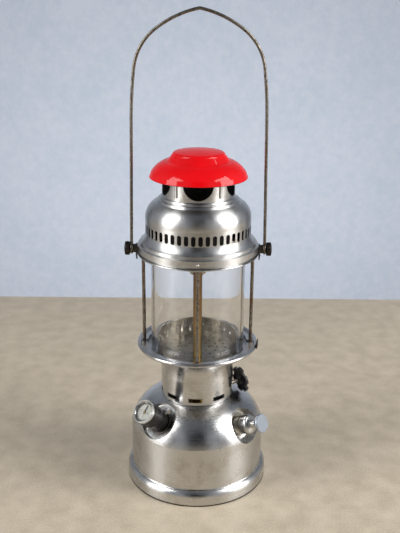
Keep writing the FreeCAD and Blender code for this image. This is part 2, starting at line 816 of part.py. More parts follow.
def tangent_arc(start, heading, end):
    """Arc from a start point and heading to an end point: its edge and its last heading."""
    chord = end - start
    length = chord.Length
    chord_dir = V(chord).normalize()
    normal = V(0, 1, 0)
    turn = math.atan2(heading.cross(chord_dir).dot(normal), heading.dot(chord_dir))
    bow = length / 2 * math.tan(turn / 2)
    side = normal.cross(chord_dir)
    middle = (start + end) * 0.5 - side * bow
    last = FreeCAD.Rotation(normal, math.degrees(2 * turn)).multVec(heading)
    return Part.Arc(start, middle, end).toShape(), last


def bail():
    """Carrying bail: one bent wire with an eye at each foot and a slight peak."""
    foot = V(bail_foot_half_width, 0, pivot_height + bail_eye_radius)
    knee = V(bail_foot_half_width - bail_knee_inset, 0, pivot_height + bail_knee_rise)
    shoulder = V(bail_foot_half_width - bail_shoulder_inset, 0, pivot_height + bail_shoulder_rise)
    crest = V(bail_foot_half_width - bail_crest_inset, 0, pivot_height + bail_crest_rise)
    peak = V(-3.0, 0, pivot_height + bail_peak_rise)
    heading = V(knee - foot).normalize()
    edges = [Part.LineSegment(foot, knee).toShape()]
    start = knee
    for end in (shoulder, crest, peak):
        edge, heading = tangent_arc(start, heading, end)
        edges.append(edge)
        start = end
    section = Part.Wire(Part.makeCircle(bail_wire_radius, foot, edges[0].tangentAt(0)))
    half = Part.Wire(edges).makePipeShell([section], True, True)
    reach = 2 * bail_peak_rise
    half = half.common(Part.makeBox(reach, reach, 2 * reach, V(0, -reach / 2, 0)))
    eye = Part.makeTorus(bail_eye_radius, bail_wire_radius, V(bail_foot_half_width, 0, pivot_height), V(1, 0, 0))
    right = joined([solid(half), eye])
    left = right.copy()
    left.rotate(V(0, 0, 0), UP, 180)
    return solid(joined([right, left]))


def ventilator_shell():
    """Pressed ventilator: seat, stepped skirt, slotted band and rounded shoulder."""
    seat = vent_seat_height
    slope = vent_shoulder_height
    inner_top = chimney_radius - 1.5
    body = pressed([(rod_circle_radius - 4.2, seat), (skirt_radius - 2.4, seat),
                    (skirt_radius - 2.4, skirt_height - 0.8),
                    (skirt_radius, skirt_height), (skirt_radius, skirt_height + skirt_band),
                    (skirt_radius - 2.4, skirt_height + skirt_band + 1.0),
                    (skirt_radius - 2.8, skirt_height + skirt_band + 4.4),
                    (skirt_radius - 4.6, skirt_height + skirt_band + 5.6),
                    (vent_radius + 1.5, slot_bottom - 4.6, "arc"), (vent_radius, slot_bottom - 0.4),
                    (vent_radius, slope),
                    (vent_radius - 2.6, slope + 13.0, "arc"), (vent_radius - 12.5, slope + 21.6),
                    (crown_radius + 5.0, vent_top_height - 0.4),
                    (crown_radius + 3.6, vent_top_height), (inner_top, vent_top_height)], vent_wall)
    half = slot_width / 2
    slot = joined([Part.makeBox(20, slot_width, slot_top - slot_bottom - slot_width,
                                V(vent_radius - 10, -half, slot_bottom + half)),
                   Part.makeCylinder(half, 20, V(vent_radius - 10, 0, slot_bottom + half), V(1, 0, 0)),
                   Part.makeCylinder(half, 20, V(vent_radius - 10, 0, slot_top - half), V(1, 0, 0))])
    body = body.cut(Part.Compound(turned_copies(slot, slot_count, 2.7)))
    for turn in (0, 180):
        notch = joined([Part.makeBox(14, 2 * notch_half_width, pivot_height - seat + 3,
                                     V(skirt_radius - 7, -notch_half_width, seat - 3)),
                        Part.makeCylinder(notch_half_width, 14, V(skirt_radius - 7, 0, pivot_height),
                                          V(1, 0, 0))])
        notch.rotate(V(0, 0, 0), UP, turn)
        body = body.cut(notch)
    return solid(body)


def crown():
    """Neck ring with five round scallops and pressed ribs on the posts between them."""
    low = vent_top_height
    body = pressed([(chimney_radius - 1.5, low), (crown_radius + 2.2, low),
                    (crown_radius + 1.9, low + 2.2, "arc"), (crown_radius, low + 3.6),
                    (crown_radius, crown_top), (crown_radius - 8.8, crown_top)], vent_wall)
    hole = Part.makeCylinder(scallop_radius, 30, V(0, -crown_radius - 15, scallop_height), V(0, 1, 0))
    body = body.cut(Part.Compound(turned_copies(hole, scallop_count)))
    spot = polar(crown_radius - 1.0, 0)
    flute = joined([rod(flute_radius, flute_bottom, crown_top - 4, spot.x, spot.y),
                    Part.makeSphere(flute_radius, V(spot.x, spot.y, flute_bottom))])
    inside = rod(crown_radius - vent_wall, low, crown_top)
    flutes = Part.Compound(turned_copies(flute.cut(inside), scallop_count, 180.0 / scallop_count))
    return solid(joined([solid(body), flutes]))


def hood():
    """Stepped enamelled hood with a rolled rim."""
    step = hood_step_height
    return pressed([(0, hood_top), (hood_cap_radius * 0.5, hood_top - 0.7, "arc"),
                    (hood_cap_radius - 1.0, hood_top - 2.4), (hood_cap_radius + 0.9, hood_top - 3.4, "arc"),
                    (hood_cap_radius + 2.0, hood_top - 5.2), (hood_step_radius - 2.4, step + 2.2),
                    (hood_step_radius - 0.6, step + 0.6, "arc"), (hood_step_radius + 2.0, step),
                    (hood_radius - 8.3, hood_rim_height + 12.7, "arc"),
                    (hood_radius - 1.9, hood_rim_height + 5.3),
                    (hood_radius, hood_rim_height)], -hood_wall)


def hood_spider():
    """Five-armed plate that ties the hood to the crown."""
    plate = rod(crown_radius - 3, crown_top, crown_top + 1.2)
    windows = turned_copies(rod(9.0, crown_top - 1, crown_top + 3, 20.5), 5, 18.0)
    return solid(plate.cut(Part.Compound(windows)).cut(rod(2.5, crown_top - 1, crown_top + 3)))


def hood_stud():
    """Stud welded under the hood, with a shoulder on the spider."""
    top = hood_top - hood_wall / 2
    body = joined([rod(6.0, crown_top + 1.2, top), rod(2.5, crown_top - 6, crown_top + 1.2)])
    return solid(body.cut(hood()))


def hood_nut():
    body = hexagon(5.6, crown_top - 4.5, crown_top)
    return solid(body.cut(rod(2.5, crown_top - 5, crown_top)))


def inner_chimney():
    """Flue inside the ventilator, hung from its top."""
    high = vent_top_height - vent_wall
    wall = ring(chimney_radius, chimney_radius - 0.8, chimney_bottom, high)
    flange = ring(chimney_radius + 4, chimney_radius - 0.8, high - 0.8, high)
    return solid(joined([wall, flange]))


def burner_bridge():
    """Cross strap in the flue that carries the mixing tube."""
    y = -vaporizer_offset
    strap = Part.makeBox(16, 90, 1.6, V(-8, -45, chimney_bottom + 2))
    strap = strap.common(rod(chimney_radius - 0.8, chimney_bottom, chimney_bottom + 6))
    strap = strap.cut(rod(mixer_radius, chimney_bottom, chimney_bottom + 6, 0, y))
    return solid(strap.cut(rod(mixer_radius, chimney_bottom, chimney_bottom + 6)))


def mixing_tube():
    """Tube that rises over the jet and bends down to the burner."""
    y = -vaporizer_offset
    bend = vaporizer_offset / 2

    def legs(radius):
        rise = rod(radius, mixer_inlet_height, mixer_bend_height, 0, y)
        fall = rod(radius, nozzle_top + 16, mixer_bend_height)
        circle = Part.Face(Part.Wire(Part.makeCircle(radius, V(0, 0, mixer_bend_height), UP)))
        arch = circle.revolve(V(0, y / 2, mixer_bend_height), V(1, 0, 0), 180)
        return [rise, fall, solid(arch)]

    outer = joined(legs(mixer_radius))
    inner = joined(legs(mixer_radius - mixer_wall))
    return solid(outer.cut(inner))


def mixing_chamber():
    """Bell that spreads the vapour above the nozzle."""
    low = nozzle_top
    high = nozzle_top + 24
    return turned([(13.0, low), (14.0, low), (14.0, low + 10), (mixer_radius + 1.2, low + 18),
                   (mixer_radius + 1.2, high - 4), (mixer_radius, high - 4), (mixer_radius, low + 16),
                   (mixer_radius, low + 14), (13.0, low + 8)])


def clay_nozzle():
    """Ceramic nozzle that carries the mantle."""
    low = nozzle_bottom
    high = nozzle_top
    body = turned([(0, low), (7, low), (9.5, low + 2.5, "arc"), (10, low + 6), (nozzle_radius, low + 9),
                   (nozzle_radius, high - 2), (13.0, high - 2), (13.0, high + 5.0), (8.0, high + 5.0),
                   (8.0, low + 4), (0, low + 4)])
    holes = turned_copies(rod(1.1, low - 1, low + 6, 4.6), 6)
    return solid(body.cut(Part.Compound(holes)))


def build():
    os.makedirs("parts", exist_ok=True)
    pieces = {
        "tank_shell": tank_shell, "tank_base": tank_base, "filler_neck": filler_neck,
        "filler_cap": filler_cap, "cap_washer": cap_washer, "gauge_bezel": gauge_bezel, "gauge_dial": gauge_dial,
        "gauge_glass": gauge_glass, "gauge_pointer": gauge_pointer, "bleed_screw": bleed_screw,
        "pump_barrel": pump_barrel, "pump_valve": pump_valve, "pump_cap": pump_cap,
        "pump_rod": pump_rod, "pump_knob": pump_knob, "pump_leather": pump_leather,
        "leather_nut": leather_nut, "pump_spring": pump_spring, "vaporizer_bush": vaporizer_bush,
        "valve_body": valve_body, "gland_nut": gland_nut, "pickup_tube": pickup_tube,
        "vaporizer_nut": vaporizer_nut, "vaporizer_tube": vaporizer_tube, "jet": jet,
        "needle_rod": needle_rod, "control_spindle": control_spindle, "control_wheel": control_wheel,
        "wheel_nut": wheel_nut, "collar": collar, "gallery_ring": gallery_ring,
        "gallery_tray": gallery_tray, "spirit_cup": spirit_cup, "globe": globe,
        "cage_top_ring": cage_top_ring, "globe_clips": globe_clips, "lock_tab": lock_tab,
        "ventilator_shell": ventilator_shell, "crown": crown, "hood": hood,
        "hood_spider": hood_spider, "hood_stud": hood_stud, "hood_nut": hood_nut,
        "inner_chimney": inner_chimney, "burner_bridge": burner_bridge, "mixing_tube": mixing_tube,
        "mixing_chamber": mixing_chamber, "clay_nozzle": clay_nozzle, "bail": bail,
    }
    for name, make in pieces.items():
        export(name, make())
    for name, azimuth in (("front", 0), ("right", 90), ("back", 180), ("left", -90)):
        export("cage_rod_" + name, cage_rod(azimuth))
    for name, side in (("right", 1), ("left", -1)):
        export("bail_lug_" + name, bail_lug(side))
        export("thumb_screw_" + name, thumb_screw(side))


build()
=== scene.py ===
# Kerosene pressure lantern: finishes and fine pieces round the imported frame.
# The frame stands on the lantern's axis in metres, +Z up, -Y front, +X right. Sizes of pieces are written
# in millimetres and carried over by MM.
import json
import math

import bmesh
import bpy
from bpy.props import FloatProperty, IntProperty, PointerProperty, StringProperty
from mathutils import Matrix, Vector


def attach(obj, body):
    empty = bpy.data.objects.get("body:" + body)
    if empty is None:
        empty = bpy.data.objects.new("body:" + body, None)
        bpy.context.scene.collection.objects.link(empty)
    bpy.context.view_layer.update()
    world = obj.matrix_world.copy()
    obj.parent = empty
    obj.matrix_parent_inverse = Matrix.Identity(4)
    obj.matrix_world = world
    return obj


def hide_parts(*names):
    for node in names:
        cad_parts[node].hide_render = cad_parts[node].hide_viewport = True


bl_info = {
    "name": "Pressure Lantern Finisher",
    "version": (1, 0, 0),
    "blender": (4, 5, 0),
    "location": "3D View > Sidebar > Lantern",
    "description": "Dresses a kerosene pressure lantern: plated brass, enamel, glass and its fine pieces",
    "category": "Object",
}

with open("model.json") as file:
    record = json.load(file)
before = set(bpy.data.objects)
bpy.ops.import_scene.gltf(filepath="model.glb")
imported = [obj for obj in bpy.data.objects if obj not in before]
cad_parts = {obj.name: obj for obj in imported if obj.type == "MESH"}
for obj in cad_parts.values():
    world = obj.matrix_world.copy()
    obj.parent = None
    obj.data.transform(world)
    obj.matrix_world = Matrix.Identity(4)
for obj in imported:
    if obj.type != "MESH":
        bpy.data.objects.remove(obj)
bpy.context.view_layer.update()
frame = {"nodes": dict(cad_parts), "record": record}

MM = 0.001
UP = Vector((0, 0, 1))
SHADE_ANGLE = math.radians(32)

# Places on the frame, in millimetres and in degrees from the front
FILLER_AZIMUTH, FILLER_ELEVATION, FILLER_RADIUS, FILLER_HEIGHT = -43.0, 42.0, 61.0, 88.7
PUMP_AZIMUTH, PUMP_ELEVATION, PUMP_RADIUS, PUMP_HEIGHT = 53.0, 23.0, 61.0, 81.0
WHEEL_AZIMUTH, WHEEL_ELEVATION = 120.0, 8.0
VAPORISER_OFFSET, SPINDLE_HEIGHT, PIVOT_HEIGHT = 28.0, 113.2, 289.0
TANK_TOP, GALLERY_HEIGHT = 107.5, 173.5

# Filler cap and gauge, heights along the filler's axis
CAP_BASE, WAIST_BOTTOM, HEAD_BOTTOM, BEZEL_BOTTOM, GAUGE_TOP = 3.05, 18.05, 20.05, 30.55, 38.05
WAIST_BEAD, HEAD_BEAD, BEZEL_LIP, NECK_RADIUS = 11.1, 13.1, 12.85, 12.2
SPIGOT_CORE, SPIGOT_CREST, SPIGOT_BOTTOM, SPIGOT_TOP = 7.1, 7.5, -4.6, 2.6
SLEEVE_INNER, SLEEVE_OUTER, SLEEVE_BOTTOM, SLEEVE_TOP = 13.5, 14.2, 30.7, 35.0
SLEEVE_GROOVES, GROOVE_HALF = (32.05, 33.65), 0.25
DIAL_FACE = GAUGE_TOP - 3.2
# Painted shadow ring round the dial, then the printed marks
SHADOW_RING_INNER, DIAL_EDGE, MARK_REACH, MARK_WIDTH = 9.9, 10.6, 9.8, 0.5
MARK_COUNT, MARK_STEP, LONG_MARK, SHORT_MARK = 19, 15.0, 2.2, 1.3
NUMBER_CIRCLE, NUMBER_SIZE = 5.6, 3.1

# Pump, heights along its own axis
PUMP_CORE, PUMP_CREST, PUMP_THREAD_BOTTOM, PUMP_NECK_TOP = 10.2, 10.75, 2.0, 11.0
PUMP_FLANGE, PUMP_LIP, PUMP_LIP_LEVEL = 12.5, 10.85, 18.0
PUMP_DISC_TOP, DISC_RINGS = 37.6, (2.6, 6.2, 9.4)

# Hand wheel, from the inner face of its rim
WHEEL_DISTANCE, WHEEL_THICKNESS, WHEEL_RADIUS, WHEEL_BORE, WHEEL_HUB = 60.0, 3.6, 13.2, 2.25, 5.0
LOBE_FACES, LOBE_SIDES, LOBE_REACH = 5, 8, 2.9
DISH_RIM, DISH_DEPTH, DISH_WIDTH, BOSS_RISE, WHEEL_LINE = 2.6, 1.0, 5.4, 1.3, 11.6

# Thumb screws, from the lantern's axis outwards
THUMB_FACE, THUMB_RADIUS, THUMB_LENGTH, SHANK_TIP, SHANK_RADIUS = 78.25, 7.8, 5.4, 65.6, 1.93

# Cage, tray and seams
ROD_CIRCLE, CLIP_CIRCLE, CLIP_TURN, LUG_FACE, LUG_RIVET_HEIGHT = 63.0, 59.8, 1.1, 71.1, 281.2
TRAY_FLOOR, TRAY_RADIUS, TRAY_HOLE_LEVEL, TRAY_HOLES, TRAY_HOLE_FRONT = 166.2, 46.9, 175.0, 26, -15.0
FILL_HOLE_X, FILL_HOLE_Y, FILL_HOLE_RIM, EYELET_RADIUS = -24.0, -26.0, 3.35, 1.55
CUT_LIFT, CUT_TOP, CUT_WIDTH, CUT_LENGTH, CUT_BACK_LOW, CUT_BACK_HIGH = 1.0, 30.0, 140.0, 80.0, 27.0, 11.0
BUSH_RADIUS, FOOT_SHOULDER, FOOT_STEP, FOOT_HEM = 8.6, 79.7, 18.5, 84.15
HOOD_RIM, HOOD_RIM_HEIGHT, SKIRT_RADIUS, PIP_HEIGHT = 54.35, 373.75, 69.0, 291.6

# Studio, in metres. The floor ends where the photo's wall stands, and the backdrop hangs further off,
# clear of the views from behind. A light has its name, its power setting, size, place and target.
CAMERA_SIDE, CAMERA_ROLL, LENS, SENSOR = 0.0024, 0.478, 54.03, 36.0
FLOOR_SIZE, BACKDROP_SIZE, BACKDROP_RAISE, BACKDROP_GAP = 6.0, 10.0, 2.0, 2.6
LIGHTS = (("window", "key_power", (0.9, 1.5), (1.35, -0.45, 1.0), (0, 0, 0.25)),
          ("side_window", "fill_power", (0.7, 1.5), (-1.25, -0.55, 0.95), (0, 0, 0.25)),
          ("backdrop_light", "backdrop_power", (3.0, 1.0), (0, 1.2, -0.7), (0, 3.2, 0.3)))


def polar(radius, azimuth, height=0.0):
    """Point in millimetres at an azimuth counted from the front."""
    angle = math.radians(azimuth)
    return Vector((radius * math.sin(angle), -radius * math.cos(angle), height))


def direction(azimuth, elevation):
    """Unit vector at an azimuth from the front and an elevation above level."""
    flat = polar(math.cos(math.radians(elevation)), azimuth)
    return Vector((flat.x, flat.y, math.sin(math.radians(elevation))))


def placement(point, axis):
    """Matrix that carries a piece drawn up +Z onto a point and an axis, its +Y side uppermost."""
    axis = axis.normalized()
    side = axis.cross(UP) if abs(axis.z) < 0.999 else Vector((1, 0, 0))
    side.normalize()
    upper = side.cross(axis)
    turn = Matrix((side, upper, axis)).transposed().to_4x4()
    return Matrix.Translation(point * MM) @ turn


FILLER = placement(polar(FILLER_RADIUS, FILLER_AZIMUTH, FILLER_HEIGHT),
                   direction(FILLER_AZIMUTH, FILLER_ELEVATION))
PUMP = placement(polar(PUMP_RADIUS, PUMP_AZIMUTH, PUMP_HEIGHT), direction(PUMP_AZIMUTH, PUMP_ELEVATION))
CONTROL = placement(Vector((0, -VAPORISER_OFFSET, SPINDLE_HEIGHT)), direction(WHEEL_AZIMUTH, WHEEL_ELEVATION))


# Modelling steps that several pieces share
def deselect():
    """Leave edit mode and clear the selection."""
    if bpy.context.object and bpy.context.object.mode != "OBJECT":
        bpy.ops.object.mode_set(mode="OBJECT")
    bpy.ops.object.select_all(action="DESELECT")


def take(piece):
    """Make one piece the only selected one and the active one."""
    deselect()
    piece.select_set(True)
    bpy.context.view_layer.objects.active = piece


def pick(piece, kind, test):
    """Select in edit mode the vertices, edges or faces that pass a test."""
    bpy.ops.mesh.select_mode(type={"verts": "VERT", "edges": "EDGE", "faces": "FACE"}[kind])
    bpy.ops.mesh.select_all(action="DESELECT")
    mesh = bmesh.from_edit_mesh(piece.data)
    for item in getattr(mesh, kind):
        if test(item):
            item.select = True
    mesh.select_flush_mode()
    bmesh.update_edit_mesh(piece.data)


def side_faces(sides, cycle, count):
    """Test for the first few faces in every cycle of them round the side of a piece."""
    def test(face):
        centre = face.calc_center_median()
        turn = math.atan2(centre.y, centre.x) % math.tau
        return abs(face.normal.z) < 0.1 and int(turn / (math.tau / sides)) % cycle < count
    return test


def settle(piece, matrix=None, smooth=True):
    """Carry a finished piece to its place and put the place into its mesh."""
    take(piece)
    if matrix is not None:
        piece.matrix_world = matrix @ piece.matrix_world
    bpy.ops.object.transform_apply(location=True, rotation=True, scale=True)
    if smooth:
        bpy.ops.object.shade_smooth_by_angle(angle=SHADE_ANGLE)
    return piece


def lathe(name, profile, steps=64, matrix=None):
    """Spin a profile of (radius, height) points in millimetres, drawn by extruding one vertex."""
    deselect()
    start = Vector((profile[0][0], 0, profile[0][1])) * MM
    bpy.ops.mesh.primitive_plane_add(size=MM, location=start)
    piece = bpy.context.object
    piece.name = name
    bpy.ops.object.mode_set(mode="EDIT")
    bpy.ops.mesh.select_mode(type="VERT")
    bpy.ops.mesh.select_all(action="SELECT")
    bpy.ops.mesh.merge(type="CENTER")
    for last, here in zip(profile, profile[1:]):
        move = Vector((here[0] - last[0], 0, here[1] - last[1])) * MM
        bpy.ops.mesh.extrude_region_move(TRANSFORM_OT_translate={"value": move})
    bpy.ops.mesh.select_all(action="SELECT")
    bpy.ops.mesh.spin(steps=steps, angle=math.tau, center=(0, 0, 0), axis=(0, 0, 1))
    bpy.ops.mesh.select_all(action="SELECT")
    bpy.ops.mesh.remove_doubles(threshold=MM * 0.004)
    bpy.ops.mesh.normals_make_consistent(inside=False)
    bpy.ops.object.mode_set(mode="OBJECT")
    return settle(piece, matrix)


def gripped_head(name, radius, bottom, top, ribs, depth, chamfer, matrix=None):
    """Knurled head: a cylinder with chamfered rims whose side faces are pressed in, two of every four."""
    deselect()
    bpy.ops.mesh.primitive_cylinder_add(vertices=ribs * 4, radius=radius * MM, depth=(top - bottom) * MM,
                                        location=(0, 0, (top + bottom) / 2 * MM))
    piece = bpy.context.object
    piece.name = name
    bpy.ops.object.mode_set(mode="EDIT")
    pick(piece, "edges", lambda e: abs(e.verts[0].co.z - e.verts[1].co.z) < 1e-7)
    bpy.ops.mesh.bevel(offset=chamfer * MM, segments=2, affect="EDGES")
    pick(piece, "faces", side_faces(ribs * 4, 4, 2))
    bpy.ops.mesh.extrude_region_shrink_fatten(TRANSFORM_OT_shrink_fatten={"value": -depth * MM})
    bpy.ops.object.mode_set(mode="OBJECT")
    return settle(piece, matrix)


def bead(radius, height, half, sides=10):
    """Closed round profile for a rolled or moulded bead."""
    turns = [math.tau * index / sides for index in range(sides)]
    points = [(radius + half * math.cos(turn), height + half * math.sin(turn)) for turn in turns]
    return points + points[:1]


def fillet(radius, height, leg):
    """Closed profile of solder run into the corner round a flange."""
    return [(radius - 0.2, height - 0.2), (radius + leg, height - 0.2), (radius + leg, height + 0.05),
            (radius + leg * 0.42, height + leg * 0.2), (radius + leg * 0.15, height + leg * 0.5),
            (radius, height + leg), (radius - 0.2, height + leg), (radius - 0.2, height - 0.2)]


def thread(core, crest, bottom, top, pitch):
    """Closed profile of a screw thread on a hollow core, its crests a rounded half of the pitch."""
    points = [(core - 0.4, bottom), (core, bottom)]
    level = bottom
    while level + pitch <= top + 1e-6:
        points += [(crest, level + pitch * 0.4), (crest, level + pitch * 0.55), (core, level + pitch * 0.98)]
        level += pitch
    return points + [(core, top), (core - 0.4, top), (core - 0.4, bottom)]


def dome(radius, height, foot=0.3):
    """Profile of a domed rivet head, sunk by a foot."""
    return [(0, -foot), (radius, -foot), (radius, height * 0.25), (radius * 0.82, height * 0.68),
            (radius * 0.5, height * 0.93), (0, height)]


def copies_round(piece, count, centre=(0, 0), first=0.0, name=None):
    """Copies of a piece turned about a vertical line, each with its own mesh, joined with it."""
    parts = [piece]
    middle = Matrix.Translation((centre[0] * MM, centre[1] * MM, 0))
    for index in range(1, count):
        take(piece)
        bpy.ops.object.duplicate(linked=False)
        copy = bpy.context.object
        copy.matrix_world = middle @ Matrix.Rotation(math.tau * index / count, 4, "Z") @ middle.inverted()
        parts.append(copy)
    return join(parts, name or piece.name, Matrix.Rotation(math.radians(first), 4, "Z"))


def join(parts, name, matrix=None):
    """Join pieces into one object and carry it to its place."""
    deselect()
    for part in parts:
        part.select_set(True)
    bpy.context.view_layer.objects.active = parts[0]
    if len(parts) > 1:
        bpy.ops.object.join()
    whole = bpy.context.object
    whole.name = name
    return settle(whole, matrix, smooth=False)


def dress(piece, finish="polished_nickel_plate", body="lantern_body", slot="nickel_plate", *hidden):
    """Give a piece its finish and its body, and hide the CAD nodes it stands for. The slot is not used."""
    piece.data.materials.clear()
    piece.data.materials.append(FINISHES[finish])
    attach(piece, body)
    if hidden:
        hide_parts(*hidden)


def turned(name, profile, steps, seat, *finish, **other):
    """Spin a piece at its seat and dress it."""
    dress(lathe(name, profile, steps, seat), *finish, **other)


# Finishes, by name once they are made
FINISHES = {}


def linear(code):
    """Linear colour of an sRGB hex value."""
    channels = [int(code[i:i + 2], 16) / 255 for i in (1, 3, 5)]
    return tuple(c / 12.92 if c <= 0.04045 else ((c + 0.055) / 1.055) ** 2.4 for c in channels) + (1.0,)


def outlet(source):
    """The output in use of a node, or the socket itself."""
    if isinstance(source, bpy.types.Node):
        return next(socket for socket in source.outputs if socket.enabled)
    return source


def add_node(tree, kind, links=None, ramp=None, **settings):
    """Add a node with its settings, its input values or links, and the stops of its ramp."""
    node = tree.nodes.new("ShaderNode" + kind)
    for key, value in settings.items():
        setattr(node, key, value)
    for socket, source in (links or {}).items():
        if isinstance(source, (bpy.types.Node, bpy.types.NodeSocket)):
            tree.links.new(outlet(source), node.inputs[socket])
        else:
            node.inputs[socket].default_value = source
    if ramp:
        stops = node.color_ramp.elements
        while len(stops) < len(ramp):
            stops.new(0.5)
        for stop, (position, colour) in zip(stops, ramp):
            stop.position = position
            stop.color = colour
    return node


def new_finish(name, **constants):
    """Material with one Principled shader whose constants sit on its own sockets, kept in FINISHES."""
    material = FINISHES[name] = bpy.data.materials.new(name)
    material.use_nodes = True
    tree = material.node_tree
    tree.nodes.clear()
    shader = add_node(tree, "BsdfPrincipled",
                      {key.replace("_", " "): value for key, value in constants.items()})
    output = add_node(tree, "OutputMaterial", {"Surface": shader})
    output.is_active_output = True
    return tree, shader, add_node(tree, "TexCoord").outputs["Object"]


def feed(tree, shader, colour=None, roughness=None, normal=None, metallic=None):
    """Link the patterns of a finish to its shader."""
    for socket, source in (("Base Color", colour), ("Roughness", roughness), ("Normal", normal),
                           ("Metallic", metallic)):
        if source is not None:
            tree.links.new(outlet(source), shader.inputs[socket])


def spun_plate(name, light, dark, low, high, haze_mm, ring_mm, bump, stretch=0.5, soot=None, grime=None,
               low_edge=False):
    """Nickel on spun brass. The eye sees soft mirror reflections drawn out across fine turning rings,
    cloudy handling haze and faint darker stain. Some have soot and painted shade on the walls that
    face the flame, some painted shade in the recesses, and one a painted contact shadow along its
    edge on the floor."""
    tree, shader, place = new_finish(name, Metallic=1.0, Anisotropic=stretch, Anisotropic_Rotation=0.25)
    haze = add_node(tree, "TexNoise", {"Vector": place, "Scale": 1000 / haze_mm, "Detail": 5.0,
                                       "Roughness": 0.6})
    stain = add_node(tree, "TexNoise", {"Vector": place, "Scale": 1000 / (haze_mm * 0.5), "Detail": 8.0,
                                        "Roughness": 0.62})
    squeeze = add_node(tree, "Mapping", {"Vector": place, "Scale": (18.0, 18.0, 1000 / ring_mm)})
    rings = add_node(tree, "TexNoise", {"Vector": squeeze, "Scale": 1.0, "Detail": 4.0, "Roughness": 0.75})
    colour = add_node(tree, "ValToRGB", {"Fac": stain},
                      ramp=[(0.24, linear(dark)), (0.5, linear(light)),
                            (0.8, linear(light))])
    cloud = add_node(tree, "MapRange", {"Value": haze, "From Min": 0.3, "From Max": 0.7,
                                        "To Min": low, "To Max": high})
    streak = add_node(tree, "MapRange", {"Value": rings, "From Min": 0.25, "From Max": 0.75,
                                         "To Min": -0.02, "To Max": 0.03})
    rough = add_node(tree, "Math", {0: cloud, 1: streak}, operation="ADD", use_clamp=True)
    metal = None
    # Painted shade: the pressed recesses darken towards their middles
    if grime:
        colour = recess_grime(tree, place, colour, *grime)
    # Painted contact shadow: the lowest two millimetres darken towards the floor
    if low_edge:
        level = add_node(tree, "SeparateXYZ", {"Vector": place}).outputs["Z"]
        contact_shadow = add_node(tree, "MapRange", {"Value": level, "From Min": 2.2 * MM, "From Max": 1.2 * MM,
                                           "To Max": 0.93})
        colour = add_node(tree, "Mix", {"Factor": contact_shadow, "A": colour, "B": linear("#241e18")},
                          data_type="RGBA")
    # Soot with painted shade: walls that face the lantern's axis turn dark, rough and dull
    if soot:
        inward = inward_mask(tree, place)
        colour = add_node(tree, "Mix", {"Factor": inward, "A": colour, "B": linear(soot)}, data_type="RGBA")
        rough = add_node(tree, "Math", {0: rough, 1: inward}, operation="ADD", use_clamp=True)
        metal = add_node(tree, "MapRange", {"Value": inward, "To Min": 1.0, "To Max": 0.1})
    relief = add_node(tree, "Bump", {"Height": rings, "Strength": bump, "Distance": 0.0004})
    feed(tree, shader, colour, rough, relief, metal)


def recess_grime(tree, place, colour, spots, tone):
    """Painted shade in the pressed recesses, darkest at their middles and ragged at the edge."""
    ragged = add_node(tree, "TexNoise", {"Vector": place, "Scale": 1000 / 7.0, "Detail": 5.0})
    shift = add_node(tree, "MapRange", {"Value": ragged, "To Min": -0.004, "To Max": 0.004})
    for spot, reach_mm, most in spots:
        away = add_node(tree, "VectorMath", {0: place, 1: spot}, operation="DISTANCE")
        edge = add_node(tree, "Math", {0: away, 1: shift}, operation="ADD")
        mask = add_node(tree, "MapRange", {"Value": edge, "From Min": reach_mm * MM,
                                           "From Max": reach_mm * 0.68 * MM, "To Max": most})
        colour = add_node(tree, "Mix", {"Factor": mask, "A": colour, "B": linear(tone)}, data_type="RGBA")
    return colour


def inward_mask(tree, place):
    """One on walls that face the lantern's axis, nought on the others."""
    level = add_node(tree, "VectorMath", {0: place, 1: (1.0, 1.0, 0.0)}, operation="MULTIPLY")
    radial = add_node(tree, "VectorMath", {0: level}, operation="NORMALIZE")
    facing = add_node(tree, "TexCoord").outputs["Normal"]
    product = add_node(tree, "VectorMath", {0: radial, 1: facing}, operation="DOT_PRODUCT")
    mask = add_node(tree, "MapRange", {"Value": product, "From Min": -0.1, "From Max": -0.35})
    return mask


def drawn_wire(name, light, dark, rust):
    """Drawn steel wire that has aged. The eye sees a dull grey-brown metal with dark pits and brown bloom."""
    tree, shader, place = new_finish(name, Metallic=1.0)
    pits = add_node(tree, "TexNoise", {"Vector": place, "Scale": 1000 / 2.2, "Detail": 6.0, "Roughness": 0.7})
    bloom = add_node(tree, "TexNoise", {"Vector": place, "Scale": 1000 / 26, "Detail": 4.0, "Roughness": 0.6})
    metal = add_node(tree, "ValToRGB", {"Fac": pits}, ramp=[(0.36, linear(dark)), (0.55, linear(light))])
    brown = add_node(tree, "MapRange", {"Value": bloom, "From Min": 0.5, "From Max": 0.72, "To Max": 0.7})
    mix = add_node(tree, "Mix", {"Factor": brown, "A": metal, "B": linear(rust)}, data_type="RGBA")
    rough = add_node(tree, "MapRange", {"Value": pits, "From Min": 0.3, "From Max": 0.7,
                                        "To Min": 0.5, "To Max": 0.24})
    relief = add_node(tree, "Bump", {"Height": pits, "Strength": 0.25, "Distance": 0.0003})
    feed(tree, shader, mix, rough, relief)


